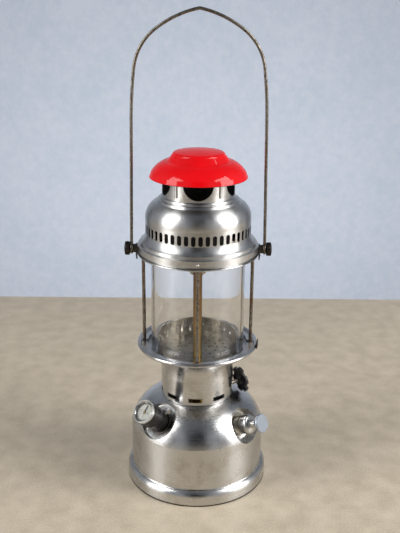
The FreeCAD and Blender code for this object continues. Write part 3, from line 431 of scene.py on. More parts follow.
def stove_enamel(name, face, deep, under):
    """Red vitreous enamel fused on steel. The eye sees wet gloss over a faint orange-peel ripple, darker
    red where the glaze pools, and painted shade on the faces that look down."""
    tree, shader, place = new_finish(name, Coat_Weight=0.55, Coat_Roughness=0.04, Coat_IOR=1.5,
                                     IOR=1.5, Roughness=0.5, Specular_IOR_Level=0.05)
    ripple = add_node(tree, "TexNoise", {"Vector": place, "Scale": 1000 / 6.0, "Detail": 2.0})
    pool = add_node(tree, "TexNoise", {"Vector": place, "Scale": 1000 / 40.0, "Detail": 4.0})
    colour = add_node(tree, "ValToRGB", {"Fac": pool}, ramp=[(0.3, linear(deep)), (0.6, linear(face))])
    height = add_node(tree, "SeparateXYZ", {"Vector": add_node(tree, "TexCoord").outputs["Normal"]})
    # Painted shade: faces that look down turn a dark red
    below = add_node(tree, "MapRange", {"Value": height.outputs["Z"], "From Min": -0.02, "From Max": -0.2})
    mix = add_node(tree, "Mix", {"Factor": below, "A": colour, "B": linear(under)}, data_type="RGBA")
    relief = add_node(tree, "Bump", {"Height": ripple, "Strength": 0.05, "Distance": 0.0006})
    feed(tree, shader, mix, None, relief)
    tree.links.new(outlet(relief), shader.inputs["Coat Normal"])


def blown_glass(name, tint, wave_mm):
    """Clear heat-proof glass. The eye sees its thick edges, a slow waviness and a little dust."""
    tree, shader, place = new_finish(name, Transmission_Weight=1.0, IOR=1.47, Base_Color=linear(tint))
    wave = add_node(tree, "TexNoise", {"Vector": place, "Scale": 1000 / wave_mm, "Detail": 1.0})
    dust = add_node(tree, "TexNoise", {"Vector": place, "Scale": 1000 / 14, "Detail": 5.0, "Roughness": 0.7})
    rough = add_node(tree, "MapRange", {"Value": dust, "From Min": 0.5, "From Max": 0.8, "To Max": 0.06})
    relief = add_node(tree, "Bump", {"Height": wave, "Strength": 0.12, "Distance": 0.001})
    feed(tree, shader, None, rough, relief)


def heated_tube(name, pale, gold, brown, blue):
    """Brass that the flame has coloured. The eye sees straw, brown and blue bands drifting up the tube."""
    tree, shader, place = new_finish(name, Metallic=1.0)
    height = add_node(tree, "SeparateXYZ", {"Vector": place})
    drift = add_node(tree, "TexNoise", {"Vector": place, "Scale": 1000 / 18, "Detail": 4.0})
    band = add_node(tree, "MapRange", {"Value": height.outputs["Z"], "From Min": 0.12, "From Max": 0.30})
    sway = add_node(tree, "MapRange", {"Value": drift, "To Min": -0.22, "To Max": 0.22})
    total = add_node(tree, "Math", {0: band, 1: sway}, operation="ADD")
    colour = add_node(tree, "ValToRGB", {"Fac": total},
                      ramp=[(0.05, linear(pale)), (0.4, linear(gold)), (0.75, linear(brown)),
                            (0.95, linear(blue))])
    grain = add_node(tree, "TexNoise", {"Vector": place, "Scale": 1000 / 1.6, "Detail": 4.0})
    rough = add_node(tree, "MapRange", {"Value": grain, "To Min": 0.2, "To Max": 0.46})
    feed(tree, shader, colour, rough)


def plain_metal(name, light, dark, low, high, grain_mm, bump=0.12):
    """Machined or turned metal. The eye sees its own colour broken by fine grain, dull in the hollows."""
    tree, shader, place = new_finish(name, Metallic=1.0)
    grain = add_node(tree, "TexNoise", {"Vector": place, "Scale": 1000 / grain_mm, "Detail": 5.0,
                                        "Roughness": 0.65})
    colour = add_node(tree, "ValToRGB", {"Fac": grain}, ramp=[(0.35, linear(dark)), (0.62, linear(light))])
    rough = add_node(tree, "MapRange", {"Value": grain, "To Min": high, "To Max": low})
    relief = add_node(tree, "Bump", {"Height": grain, "Strength": bump, "Distance": 0.0003})
    feed(tree, shader, colour, rough, relief)


def dull_solid(name, light, dark, low, high, grain_mm, bump, sheen=0.0):
    """Moulded, fired, cut or settled material that isn't metal. The eye sees a mottled colour and a fine
    tooth that breaks up the shine."""
    tree, shader, place = new_finish(name, IOR=1.5, Sheen_Weight=sheen)
    grain = add_node(tree, "TexNoise", {"Vector": place, "Scale": 1000 / grain_mm, "Detail": 6.0,
                                        "Roughness": 0.7})
    colour = add_node(tree, "ValToRGB", {"Fac": grain}, ramp=[(0.3, linear(dark)), (0.7, linear(light))])
    rough = add_node(tree, "MapRange", {"Value": grain, "To Min": low, "To Max": high})
    relief = add_node(tree, "Bump", {"Height": grain, "Strength": bump, "Distance": 0.0004})
    feed(tree, shader, colour, rough, relief)


def make_finishes(colours):
    """Every finish on the lantern, by name."""
    nickel = colours.nickel_light, colours.nickel_dark
    # Painted shade in the filler and pump recesses: spot, reach and strength of each, then its colour
    recesses = ((FILLER.translation, 21.0, 0.9), (PUMP.translation, 17.0, 0.6)), "#3a2f24"
    table = (
        # Plate of collar, rings and caps, then of the tank with painted shade in its recesses,
        # and of the foot with a painted contact shadow along its bottom edge
        (spun_plate, "polished_nickel_plate", *nickel, 0.2, 0.3, 40.0, 0.9, 0.05, 0.6),
        (spun_plate, "tank_nickel_plate", *nickel, 0.22, 0.33, 40.0, 0.9, 0.05, 0.65, None, recesses),
        (spun_plate, "foot_nickel_plate", *nickel, 0.22, 0.33, 40.0, 0.9, 0.05, 0.65, None, None, True),
        # Plate hazed by heat with soot and painted shade on its inner walls, and plate browned by spilt fuel
        (spun_plate, "satin_nickel_plate", *nickel, 0.27, 0.4, 30.0, 0.8, 0.16, 0.8, "#15100c"),
        (spun_plate, "stained_nickel_plate", "#a39d92", "#5a5249", 0.26, 0.44, 14.0, 0.8, 0.16, 0.3),
        # Matt brown-black soot and painted shade that hide the steel of the parts shut inside the lantern
        (dull_solid, "sooty_steel", "#2a2521", "#14110f", 0.6, 0.85, 7.0, 0.2),
        (drawn_wire, "aged_steel_wire", "#8d867b", "#3f3a34", "#6a4a30"),
        # Red enamel: its face, the deeper red of pooled glaze and the painted shade of its underside
        (stove_enamel, "red_vitreous_enamel", colours.enamel, "#d2040c", "#3c0507"),
        (blown_glass, "clear_globe_glass", "#fefefe", 26.0),
        (heated_tube, "heat_tinted_brass", "#a98f52", "#8f6f32", "#6f4d1f", "#5a4a3a"),
        (plain_metal, "turned_brass", "#c2a35c", "#8a6a34", 0.2, 0.4, 3.0),
        # Half-gloss black of compression moulding
        (dull_solid, "black_phenolic_moulding", "#232120", "#0b0b0c", 0.3, 0.5, 1.2, 0.1),
        # Dull black steel of the thumb screws, also painted shade on the filler neck and its solder
        (plain_metal, "blackened_steel", "#5a5550", "#25221f", 0.3, 0.55, 1.4, 0.2),
        (plain_metal, "satin_aluminium", "#c3cad3", "#a4abb6", 0.3, 0.42, 0.8, 0.08),
        # Smooth ivory card under a thin black print, whose black also paints the shadow ring round the dial
        (dull_solid, "printed_dial_card", "#f6f4ee", "#e2ded2", 0.5, 0.65, 4.0, 0.03),
        (dull_solid, "black_paint", "#151515", "#0a0a0a", 0.3, 0.45, 1.0, 0.05),
        # Dark oiled hide, a dark brown for the painted contact shadow under the foot, dull rubber and chalky
        # clay
        (dull_solid, "oiled_leather", "#5b3a22", "#2e1b10", 0.5, 0.7, 1.1, 0.4, 0.2),
        (dull_solid, "settled_grime", "#2b241d", "#15110d", 0.6, 0.8, 2.0, 0.2),
        (dull_solid, "nitrile_rubber", "#242424", "#141414", 0.6, 0.8, 0.9, 0.15),
        (dull_solid, "fired_clay", "#d9d0c0", "#b4a68f", 0.75, 0.9, 1.3, 0.3),
        (blown_glass, "gauge_window_glass", "#fbfcfa", 12.0),
    )
    for make, *values in table:
        make(*values)


SLOT_FINISH = {
    "nickel_plate": "polished_nickel_plate", "red_enamel": "red_vitreous_enamel",
    "globe_glass": "clear_globe_glass", "steel_wire": "aged_steel_wire", "bare_brass": "turned_brass",
    "heated_brass": "heat_tinted_brass", "black_moulding": "black_phenolic_moulding",
    "black_screw": "blackened_steel", "pump_disc": "satin_aluminium", "dial_face": "printed_dial_card",
    "pointer_black": "black_paint", "gauge_window": "gauge_window_glass", "cup_leather": "oiled_leather",
    "seal_rubber": "nitrile_rubber", "burner_clay": "fired_clay",
}
NODE_FINISH = {
    "tank_shell": "tank_nickel_plate", "tank_base": "foot_nickel_plate",
    # The filler neck is darkened as painted shade in its recess
    "pump_barrel": "stained_nickel_plate", "filler_neck": "blackened_steel",
    # Soot with painted shade inside the ventilator and crown, and on the inner chimney, hood spider, mixing
    # tube and burner bridge
    "ventilator_shell": "satin_nickel_plate", "crown": "satin_nickel_plate", "inner_chimney": "sooty_steel",
    "hood_spider": "sooty_steel", "mixing_tube": "sooty_steel", "burner_bridge": "sooty_steel",
    "gallery_tray": "stained_nickel_plate", "spirit_cup": "stained_nickel_plate",
}


# Settings that a user would change
class LanternDetails(bpy.types.PropertyGroup):
    """Sizes of the fine pieces."""
    thread_pitch: FloatProperty(name="Thread pitch", description="Pitch of the cap and pump threads",
                                default=1.5 * MM, unit="LENGTH", precision=4)
    knurl_depth: FloatProperty(name="Knurl depth", description="Depth of the grip grooves",
                               default=0.55 * MM, unit="LENGTH", precision=5)
    solder_leg: FloatProperty(name="Solder leg", description="Width of the solder fillets",
                              default=1.4 * MM, unit="LENGTH", precision=4)
    bead_half: FloatProperty(name="Bead", description="Half thickness of the rolled beads",
                             default=0.75 * MM, unit="LENGTH", precision=5)
    thumb_ribs: IntProperty(name="Thumb screw ribs", description="Grip ribs of a thumb screw", default=20)
    wheel_lobes: IntProperty(name="Wheel lobes", description="Finger lobes of the hand wheel", default=6)


class LanternColours(bpy.types.PropertyGroup):
    """Colours of the main finishes, as sRGB hex values."""
    nickel_light: StringProperty(name="Nickel", description="Clean nickel plate", default="#cdccca")
    nickel_dark: StringProperty(name="Nickel stain", description="Stained nickel plate", default="#b1ada6")
    enamel: StringProperty(name="Enamel", description="Red enamel of the hood", default="#e3060f")
    floor: StringProperty(name="Floor", description="Pale floor", default="#c9bba5")
    wall: StringProperty(name="Wall", description="Pale backdrop", default="#c8cdd6")


class LanternStudio(bpy.types.PropertyGroup):
    """Camera and lights."""
    camera_distance: FloatProperty(name="Camera distance", description="Camera in front of the axis",
                                   default=0.8746, unit="LENGTH")
    camera_height: FloatProperty(name="Camera height", description="Camera above the floor",
                                 default=0.5690, unit="LENGTH")
    camera_tilt: FloatProperty(name="Camera tilt", description="Tilt down from level",
                               default=math.radians(19.04), subtype="ANGLE")
    wall_distance: FloatProperty(name="Floor end", description="End of the floor behind the axis",
                                 default=0.585, unit="LENGTH")
    key_power: FloatProperty(name="Window light", description="Power of the window at the right",
                             default=32.0)
    fill_power: FloatProperty(name="Fill light", description="Power of the window at the left", default=21.0)
    backdrop_power: FloatProperty(name="Backdrop light",
                                  description="Power of the light on the backdrop", default=36.0)
    sky_power: FloatProperty(name="Room light", description="Strength of the room light", default=0.55)


class LANTERN_OT_finishes(bpy.types.Operator):
    """Give every CAD node its procedural finish"""
    bl_idname = "lantern.finishes"
    bl_label = "Finishes"

    def execute(self, context):
        make_finishes(context.scene.lantern_colours)
        slots = {node: entry["slot"] for entry in frame["record"]["materials"]
                 for node in entry.get("nodes", [])}
        for name, node in frame["nodes"].items():
            own = node.data.materials[0].name.split(".")[0] if node.data.materials else slots.get(name)
            finish = NODE_FINISH.get(name, SLOT_FINISH[slots.get(name, own)])
            node.data.materials.clear()
            node.data.materials.append(FINISHES[finish])
        return {"FINISHED"}


class LANTERN_OT_filler_cap(bpy.types.Operator):
    """Moulded beads, thread, grooved sleeve, bezel roll and solder of the filler cap"""
    bl_idname = "lantern.filler_cap"
    bl_label = "Filler cap"

    def execute(self, context):
        sizes = context.scene.lantern_details
        half = sizes.bead_half / MM
        spots = ((WAIST_BEAD, CAP_BASE + 0.9), (WAIST_BEAD, WAIST_BOTTOM - 0.8),
                 (HEAD_BEAD, HEAD_BOTTOM + 0.8), (HEAD_BEAD, BEZEL_BOTTOM - 0.8))
        beads = [lathe("cap_bead", bead(radius, height, half), 56, FILLER) for radius, height in spots]
        moulding = "black_phenolic_moulding", "filler_cap", "black_moulding"
        dress(join(beads, "cap_moulded_beads"), *moulding)
        spigot = thread(SPIGOT_CORE, SPIGOT_CREST, SPIGOT_BOTTOM, SPIGOT_TOP, sizes.thread_pitch / MM)
        turned("cap_thread", spigot, 56, FILLER, *moulding)
        side = [(SLEEVE_INNER, SLEEVE_BOTTOM), (SLEEVE_OUTER, SLEEVE_BOTTOM)]
        for level in SLEEVE_GROOVES:
            side += [(SLEEVE_OUTER, level - GROOVE_HALF), (SLEEVE_OUTER - GROOVE_HALF, level),
                     (SLEEVE_OUTER, level + GROOVE_HALF)]
        side += [(SLEEVE_OUTER, SLEEVE_TOP), (SLEEVE_INNER, SLEEVE_TOP), (SLEEVE_INNER, SLEEVE_BOTTOM)]
        turned("cap_upper_sleeve", side, 64, FILLER, *moulding)
        turned("bezel_roll", bead(BEZEL_LIP, GAUGE_TOP - 0.25, half + 0.2), 64, FILLER, body="filler_cap")
        # Solder round the filler neck, dark as painted shade in its recess
        turned("filler_solder", fillet(NECK_RADIUS, 0.0, sizes.solder_leg / MM), 56, FILLER,
               "blackened_steel")
        return {"FINISHED"}


class LANTERN_OT_dial(bpy.types.Operator):
    """A painted shadow ring round the dial, marks and numbers of the pressure gauge, and the pointer's hub"""
    bl_idname = "lantern.dial"
    bl_label = "Gauge dial"

    def execute(self, context):
        top = DIAL_FACE + 0.08
        # Black ring round the dial's edge: a painted shadow under the bezel
        marks = [lathe("dial_line", [(SHADOW_RING_INNER, DIAL_FACE), (DIAL_EDGE, DIAL_FACE), (DIAL_EDGE, top),
                                     (SHADOW_RING_INNER, top), (SHADOW_RING_INNER, DIAL_FACE)], 72, FILLER)]
        for index in range(MARK_COUNT):
            turn = math.radians(-MARK_STEP * index)
            marks.append(self.mark(turn, LONG_MARK if index % 6 == 0 else SHORT_MARK))
        for number in range(4):
            marks.append(self.number(str(number), math.radians(-90.0 * number)))
        dress(join(marks, "dial_marks"), "black_paint", "filler_cap", "pointer_black")
        turned("pointer_hub", dome(1.25, 0.6), 24,
               FILLER @ Matrix.Translation((0, 0, (DIAL_FACE + 0.8) * MM)), "turned_brass", "gauge_hand",
               "bare_brass")
        return {"FINISHED"}

    def mark(self, turn, length):
        """One printed mark, tapered towards the middle."""
        middle = MARK_REACH - length / 2
        deselect()
        bpy.ops.mesh.primitive_cube_add(size=1.0, scale=(MARK_WIDTH * MM, length * MM, 0.1 * MM),
                                        location=(0, middle * MM, (DIAL_FACE + 0.03) * MM))
        piece = bpy.context.object
        bpy.ops.object.transform_apply(location=True, rotation=True, scale=True)
        bpy.ops.object.mode_set(mode="EDIT")
        pick(piece, "verts", lambda v: v.co.y < middle * MM)
        bpy.ops.transform.resize(value=(0.6, 1.0, 1.0), center_override=(0, 0, 0))
        bpy.ops.object.mode_set(mode="OBJECT")
        return settle(piece, FILLER @ Matrix.Rotation(turn, 4, "Z"), smooth=False)

    def number(self, text, turn):
        """One printed number, upright on the dial."""
        deselect()
        bpy.ops.object.text_add()
        piece = bpy.context.object
        piece.data.body = text
        piece.data.size = NUMBER_SIZE * MM
        piece.data.extrude = 0.04 * MM
        piece.data.align_x = "CENTER"
        piece.data.align_y = "CENTER"
        bpy.ops.object.convert(target="MESH")
        piece = bpy.context.object
        spot = Matrix.Rotation(turn, 4, "Z") @ Vector((0, NUMBER_CIRCLE * MM, (DIAL_FACE + 0.05) * MM))
        return settle(piece, FILLER @ Matrix.Translation(spot), smooth=False)


class LANTERN_OT_pump(bpy.types.Operator):
    """Thread, solder and turned rings of the hand pump"""
    bl_idname = "lantern.pump"
    bl_label = "Pump"

    def execute(self, context):
        sizes = context.scene.lantern_details
        leg, pitch = sizes.solder_leg / MM, sizes.thread_pitch / MM
        turns = thread(PUMP_CORE, PUMP_CREST, PUMP_THREAD_BOTTOM, PUMP_NECK_TOP - 0.2, pitch)
        turned("pump_neck_thread", turns, 64, PUMP, "stained_nickel_plate")
        turned("pump_solder", fillet(PUMP_FLANGE, 0.0, leg), 64, PUMP, "stained_nickel_plate")
        rings = [lathe("disc_ring", bead(radius, PUMP_DISC_TOP - 0.02, 0.22, 6), 56, PUMP)
                 for radius in DISC_RINGS]
        dress(join(rings, "pump_disc_rings"), "satin_aluminium", "pump_plunger", "pump_disc")
        turned("pump_cap_lips", bead(PUMP_LIP, PUMP_LIP_LEVEL, 0.5, 8), 56, PUMP)
        return {"FINISHED"}


class LANTERN_OT_hand_wheel(bpy.types.Operator):
    """Moulded hand wheel with rounded lobes, a dished face and a hub"""
    bl_idname = "lantern.hand_wheel"
    bl_label = "Hand wheel"

    def execute(self, context):
        lobes = context.scene.lantern_details.wheel_lobes
        sides = lobes * LOBE_SIDES
        deselect()
        bpy.ops.mesh.primitive_cylinder_add(vertices=sides, radius=WHEEL_RADIUS * MM,
                                            depth=WHEEL_THICKNESS * MM,
                                            location=(0, 0, WHEEL_THICKNESS / 2 * MM))
        wheel = bpy.context.object
        bpy.ops.object.transform_apply(location=True)
        bpy.ops.object.mode_set(mode="EDIT")
        pick(wheel, "faces", side_faces(sides, LOBE_SIDES, LOBE_FACES))
        bpy.ops.mesh.extrude_region_shrink_fatten(TRANSFORM_OT_shrink_fatten={"value": LOBE_REACH * MM})
        pick(wheel, "faces", lambda f: abs(f.normal.z) > 0.9 and len(f.verts) > 8)
        bpy.ops.mesh.inset(thickness=DISH_RIM * MM, depth=-DISH_DEPTH * MM)
        bpy.ops.mesh.inset(thickness=DISH_WIDTH * MM)
        bpy.ops.mesh.extrude_region_shrink_fatten(TRANSFORM_OT_shrink_fatten={"value": BOSS_RISE * MM})
        bpy.ops.object.mode_set(mode="OBJECT")
        soften = wheel.modifiers.new("edge", "BEVEL")
        soften.width = 0.75 * MM
        soften.segments = 3
        soften.limit_method = "ANGLE"
        soften.angle_limit = math.radians(35)
        bpy.ops.object.modifier_apply(modifier="edge")
        seat = CONTROL @ Matrix.Translation((0, 0, WHEEL_DISTANCE * MM))
        settle(wheel, seat)
        hub = lathe("wheel_hub", [(WHEEL_BORE, -2.0), (WHEEL_HUB - 0.6, -2.0), (WHEEL_HUB, -1.3),
                                  (WHEEL_HUB, 0.4), (WHEEL_BORE, 0.4), (WHEEL_BORE, -2.0)], 36, seat)
        dress(join([wheel, hub], "hand_wheel"), "black_phenolic_moulding", "control", "black_moulding",
              "control_wheel")
        low, high, edge = WHEEL_THICKNESS - 0.1, WHEEL_THICKNESS + 0.5, WHEEL_HUB + 0.2
        brass = "turned_brass", "control", "bare_brass"
        turned("wheel_rim", bead(WHEEL_LINE, low, 0.45, 8), 72, seat, *brass)
        washer = [(WHEEL_BORE, low), (edge, low), (edge, high), (WHEEL_BORE, high), (WHEEL_BORE, low)]
        turned("wheel_washer", washer, 32, seat, *brass)
        return {"FINISHED"}


class LANTERN_OT_thumb_screws(bpy.types.Operator):
    """Two black gripped thumb screws, each on its own body"""
    bl_idname = "lantern.thumb_screws"
    bl_label = "Thumb screws"

    def execute(self, context):
        sizes = context.scene.lantern_details
        for side, name in ((1, "right"), (-1, "left")):
            seat = placement(Vector((0, 0, PIVOT_HEIGHT)), Vector((side, 0, 0)))
            head = gripped_head("head", THUMB_RADIUS, THUMB_FACE, THUMB_FACE + THUMB_LENGTH, sizes.thumb_ribs,
                                sizes.knurl_depth / MM, 0.7, seat)
            face = lathe("face", [(0, THUMB_FACE + 5.0), (5.4, THUMB_FACE + 5.0), (5.4, THUMB_FACE + 5.5),
                                  (4.7, THUMB_FACE + 6.0), (2.8, THUMB_FACE + 6.2), (0, THUMB_FACE + 6.2)],
                         40, seat)
            shank = lathe("shank", [(0, SHANK_TIP), (1.3, SHANK_TIP), (SHANK_RADIUS, SHANK_TIP + 0.7),
                                    (SHANK_RADIUS, THUMB_FACE + 0.2), (0, THUMB_FACE + 0.2)], 28, seat)
            dress(join([head, face, shank], "thumb_screw_" + name), "blackened_steel", "thumb_" + name,
                  "black_screw", "thumb_screw_" + name)
        return {"FINISHED"}


class LANTERN_OT_cage(bpy.types.Operator):
    """Washers and rivets where the rods, clips and lugs are fixed"""
    bl_idname = "lantern.cage"
    bl_label = "Cage fittings"

    def execute(self, context):
        washer = lathe("rod_washer", bead(2.55, 0.25, 0.62, 8), 32,
                       Matrix.Translation(polar(ROD_CIRCLE, 0, GALLERY_HEIGHT) * MM))
        steel = "aged_steel_wire", "lantern_body", "steel_wire"
        dress(copies_round(washer, 4, name="rod_foot_washers"), *steel)
        rivet = lathe("clip_rivet", dome(0.9, 0.6, 0.2), 20,
                      Matrix.Translation(polar(CLIP_CIRCLE, CLIP_TURN, GALLERY_HEIGHT + 0.75) * MM))
        dress(copies_round(rivet, 4, name="clip_rivets"))
        heads = [lathe("lug_rivet", dome(1.1, 0.8), 24,
                       placement(Vector((side * LUG_FACE, 0, LUG_RIVET_HEIGHT)), Vector((side, 0, 0))))
                 for side in (1, -1)]
        dress(join(heads, "lug_rivets"), *steel)
        return {"FINISHED"}


class LANTERN_OT_tray(bpy.types.Operator):
    """Perforated tray whose wall stands only behind, with the raised rims of its holes"""
    bl_idname = "lantern.tray"
    bl_label = "Tray"

    def execute(self, context):
        deselect()
        source = frame["nodes"]["gallery_tray"]
        tray = source.copy()
        tray.data = source.data.copy()
        tray.name = "perforated_tray"
        context.collection.objects.link(tray)
        tray.parent = None
        take(tray)
        bpy.ops.object.mode_set(mode="EDIT")
        bpy.ops.mesh.select_all(action="SELECT")
        bpy.ops.mesh.remove_doubles(threshold=MM * 0.001)
        bpy.ops.object.mode_set(mode="OBJECT")
        cutter = self.cutter()
        cut = tray.modifiers.new("front", "BOOLEAN")
        cut.operation = "DIFFERENCE"
        cut.object = cutter
        cut.solver = "EXACT"
        take(tray)
        bpy.ops.object.modifier_apply(modifier="front")
        bpy.data.objects.remove(cutter)
        settle(tray)
        dress(tray, "stained_nickel_plate", "lantern_body", "nickel_plate", "gallery_tray")
        turned("tray_fill_rim", bead(FILL_HOLE_RIM, 0.15, 0.6, 8), 36,
               Matrix.Translation(Vector((FILL_HOLE_X, FILL_HOLE_Y, TRAY_FLOOR)) * MM))
        eyelets = []
        for index in range(TRAY_HOLES):
            spot = polar(TRAY_RADIUS - 0.8, 360.0 * (index + 0.5) / TRAY_HOLES, TRAY_HOLE_LEVEL)
            if spot.y > TRAY_HOLE_FRONT:
                seat = placement(spot, Vector((-spot.x, -spot.y, 0)))
                eyelets.append(lathe("tray_eyelet", bead(EYELET_RADIUS, 0.0, 0.3, 5), 14, seat))
        dress(join(eyelets, "tray_eyelets"))
        return {"FINISHED"}

    def cutter(self):
        """Wedge that clears the wall in front, its back face sloping towards the front as it falls."""
        bottom, top = TRAY_FLOOR + CUT_LIFT, TRAY_FLOOR + CUT_TOP
        deselect()
        bpy.ops.mesh.primitive_cube_add(size=1.0,
                                        scale=(CUT_WIDTH * MM, CUT_LENGTH * MM, (top - bottom) * MM),
                                        location=(0, -CUT_LENGTH / 2 * MM, (top + bottom) / 2 * MM))
        wedge = bpy.context.object
        bpy.ops.object.transform_apply(location=True, rotation=True, scale=True)
        bpy.ops.object.mode_set(mode="EDIT")
        pick(wedge, "verts", lambda v: v.co.y > -MM and v.co.z < (bottom + 1) * MM)
        bpy.ops.transform.translate(value=(0, -CUT_BACK_LOW * MM, 0))
        pick(wedge, "verts", lambda v: v.co.y > -MM and v.co.z > (top - 1) * MM)
        bpy.ops.transform.translate(value=(0, CUT_BACK_HIGH * MM, 0))
        bpy.ops.object.mode_set(mode="OBJECT")
        return wedge


class LANTERN_OT_seams(bpy.types.Operator):
    """Solder, rolled edges and the pressed pip of the sheet pieces"""
    bl_idname = "lantern.seams"
    bl_label = "Seams"

    def execute(self, context):
        sizes = context.scene.lantern_details
        half = sizes.bead_half / MM
        leg = sizes.solder_leg / MM
        turned("bush_solder", fillet(BUSH_RADIUS, 0.0, leg), 48,
               Matrix.Translation(Vector((0, -VAPORISER_OFFSET, TANK_TOP)) * MM), "stained_nickel_plate")
        turned("foot_seam", fillet(FOOT_SHOULDER, FOOT_STEP, leg), 128, None)
        # Dark hem bead round the bottom of the foot: a painted contact shadow on the floor line
        turned("foot_hem", bead(FOOT_HEM, half, half), 128, None, "settled_grime")
        turned("hood_rim_roll", bead(HOOD_RIM, HOOD_RIM_HEIGHT, half), 96, None, "red_vitreous_enamel",
               "ventilator", "red_enamel")
        turned("skirt_pip", dome(1.5, 0.7), 24,
               placement(polar(SKIRT_RADIUS, 0, PIP_HEIGHT), direction(0, 0)), "satin_nickel_plate",
               "ventilator")
        return {"FINISHED"}


class LANTERN_OT_stage(bpy.types.Operator):
    """Floor, backdrop, soft lights and the camera"""
    bl_idname = "lantern.stage"
    bl_label = "Stage"

    def execute(self, context):
        studio = context.scene.lantern_studio
        colours = context.scene.lantern_colours
        stage_surface("pale_floor_screed", colours.floor, "#ab9d87", 26.0, 1.8, 0.28, 0.5)
        stage_surface("painted_wall", colours.wall, "#bcc4d0", 300.0, 40.0, 0.8, 0.9)
        deselect()
        bpy.ops.mesh.primitive_plane_add(size=FLOOR_SIZE,
                                         location=(0, studio.wall_distance - FLOOR_SIZE / 2, 0))
        floor = bpy.context.object
        floor.name = "floor"
        bpy.ops.mesh.primitive_plane_add(size=BACKDROP_SIZE, rotation=(math.radians(90), 0, 0),
                                         location=(0, studio.wall_distance + BACKDROP_GAP, BACKDROP_RAISE))
        wall = bpy.context.object
        wall.name = "backdrop"
        for piece, finish in ((floor, "pale_floor_screed"), (wall, "painted_wall")):
            settle(piece, smooth=False)
            piece.data.materials.append(FINISHES[finish])
        self.lights(studio)
        self.camera(studio)
        return {"FINISHED"}

    def lights(self, studio):
        """Room light, the two windows and the light below the floor's end that brightens the backdrop."""
        bpy.context.scene.world = room(studio.sky_power)
        bpy.context.scene.view_settings.view_transform = "Standard"
        for name, power, size, place, target in LIGHTS:
            bpy.ops.object.light_add(type="AREA", location=place)
            light = bpy.context.object
            light.name = name
            light.data.energy = getattr(studio, power)
            light.data.shape = "RECTANGLE"
            light.data.size, light.data.size_y = size
            aim = Vector(target) - Vector(place)
            light.rotation_euler = aim.to_track_quat("-Z", "Y").to_euler()

    def camera(self, studio):
        """Camera at the photograph's place, with its lens and its small roll."""
        bpy.ops.object.camera_add(location=(CAMERA_SIDE, -studio.camera_distance, studio.camera_height))
        camera = bpy.context.object
        camera.name = "camera"
        camera.data.lens = LENS
        camera.data.sensor_fit = "AUTO"
        camera.data.sensor_width = SENSOR
        tilt = Matrix.Rotation(math.radians(90) - studio.camera_tilt, 4, "X")
        roll = Matrix.Rotation(math.radians(CAMERA_ROLL), 4, "Z")
        camera.matrix_world = Matrix.Translation(camera.location) @ tilt @ roll
        bpy.context.scene.camera = camera


def room(strength):
    """Pale room whose side behind the camera is dark, so that the plate has something to mirror."""
    world = bpy.data.worlds.new("room_light")
    world.use_nodes = True
    tree = world.node_tree
    tree.nodes.clear()
    way = add_node(tree, "TexCoord").outputs["Generated"]
    ahead = add_node(tree, "VectorMath", {0: way, 1: (0.0, -0.95, 0.31)}, operation="DOT_PRODUCT")
    side = add_node(tree, "SeparateXYZ", {"Vector": way})
    span = add_node(tree, "Math", {0: side.outputs["X"]}, operation="ABSOLUTE")
    dark = add_node(tree, "MapRange", {"Value": ahead, "From Min": 0.7, "From Max": 0.93},
                    interpolation_type="SMOOTHSTEP")
    narrow = add_node(tree, "MapRange", {"Value": span, "From Min": 0.14, "From Max": 0.42,
                                         "To Min": 1.0, "To Max": 0.0}, interpolation_type="SMOOTHSTEP")
    shade = add_node(tree, "Math", {0: dark, 1: narrow}, operation="MULTIPLY")
    mixed = add_node(tree, "ValToRGB", {"Fac": shade},
                     ramp=[(0.0, linear("#c6ccd6")), (1.0, linear("#30363f"))])
    above = add_node(tree, "MapRange", {"Value": side.outputs["Z"], "From Min": 0.45, "From Max": 0.9,
                                        "To Max": 0.75}, interpolation_type="SMOOTHSTEP")
    mixed = add_node(tree, "Mix", {"Factor": above, "A": mixed, "B": linear("#59616e")}, data_type="RGBA")
    seen = add_node(tree, "LightPath").outputs["Is Camera Ray"]
    plain = add_node(tree, "Mix", {"Factor": seen, "A": mixed, "B": linear("#c8cdd6")}, data_type="RGBA")
    glow = add_node(tree, "Background", {"Color": plain, "Strength": strength})
    add_node(tree, "OutputWorld", {"Surface": glow})
    return world


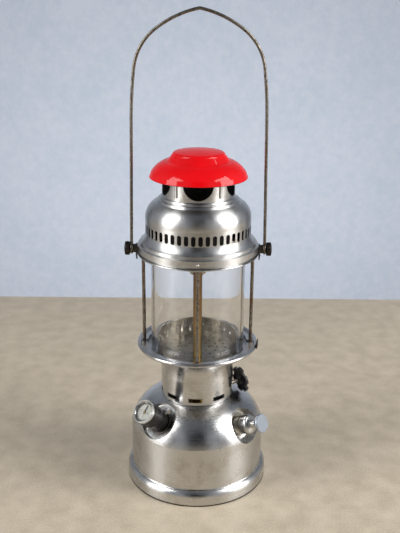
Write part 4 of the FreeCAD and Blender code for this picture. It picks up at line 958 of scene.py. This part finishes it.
def stage_surface(name, light, dark, patch_mm, grain_mm, low, high):
    """Screed or paint of the stage. The eye sees a fine grain over faint clouds, with a gentle sheen."""
    tree, shader, place = new_finish(name)
    cloud = add_node(tree, "TexNoise", {"Vector": place, "Scale": 1000 / patch_mm, "Detail": 4.0})
    grain = add_node(tree, "TexNoise", {"Vector": place, "Scale": 1000 / grain_mm, "Detail": 3.0,
                                        "Roughness": 0.7})
    blend = add_node(tree, "Mix", {"Factor": 0.6, "A": cloud, "B": grain})
    colour = add_node(tree, "ValToRGB", {"Fac": blend}, ramp=[(0.36, linear(dark)), (0.6, linear(light))])
    rough = add_node(tree, "MapRange", {"Value": cloud, "To Min": low, "To Max": high})
    feed(tree, shader, colour, rough)


OPERATORS = (LANTERN_OT_finishes, LANTERN_OT_filler_cap, LANTERN_OT_dial, LANTERN_OT_pump,
             LANTERN_OT_hand_wheel, LANTERN_OT_thumb_screws, LANTERN_OT_cage, LANTERN_OT_tray,
             LANTERN_OT_seams, LANTERN_OT_stage)


class LANTERN_PT_panel(bpy.types.Panel):
    """Lists the lantern's pieces in the order they are made"""
    bl_idname = "LANTERN_PT_panel"
    bl_label = "Pressure Lantern"
    bl_space_type = "VIEW_3D"
    bl_region_type = "UI"
    bl_category = "Lantern"

    def draw(self, context):
        layout = self.layout
        scene = context.scene
        for group in (scene.lantern_colours, scene.lantern_details, scene.lantern_studio):
            for name in group.bl_rna.properties.keys():
                if name not in ("rna_type", "name"):
                    layout.prop(group, name)
        for operator in OPERATORS:
            layout.operator(operator.bl_idname)


CLASSES = (LanternColours, LanternDetails, LanternStudio) + OPERATORS + (LANTERN_PT_panel,)


def register():
    for item in CLASSES:
        bpy.utils.register_class(item)
    bpy.types.Scene.lantern_colours = PointerProperty(type=LanternColours)
    bpy.types.Scene.lantern_details = PointerProperty(type=LanternDetails)
    bpy.types.Scene.lantern_studio = PointerProperty(type=LanternStudio)


def unregister():
    del bpy.types.Scene.lantern_studio
    del bpy.types.Scene.lantern_details
    del bpy.types.Scene.lantern_colours
    for item in reversed(CLASSES):
        bpy.utils.unregister_class(item)


def main():
    register()
    for operator in OPERATORS:
        group, name = operator.bl_idname.split(".")
        getattr(getattr(bpy.ops, group), name)()
    deselect()


if __name__ == "__main__":
    main()
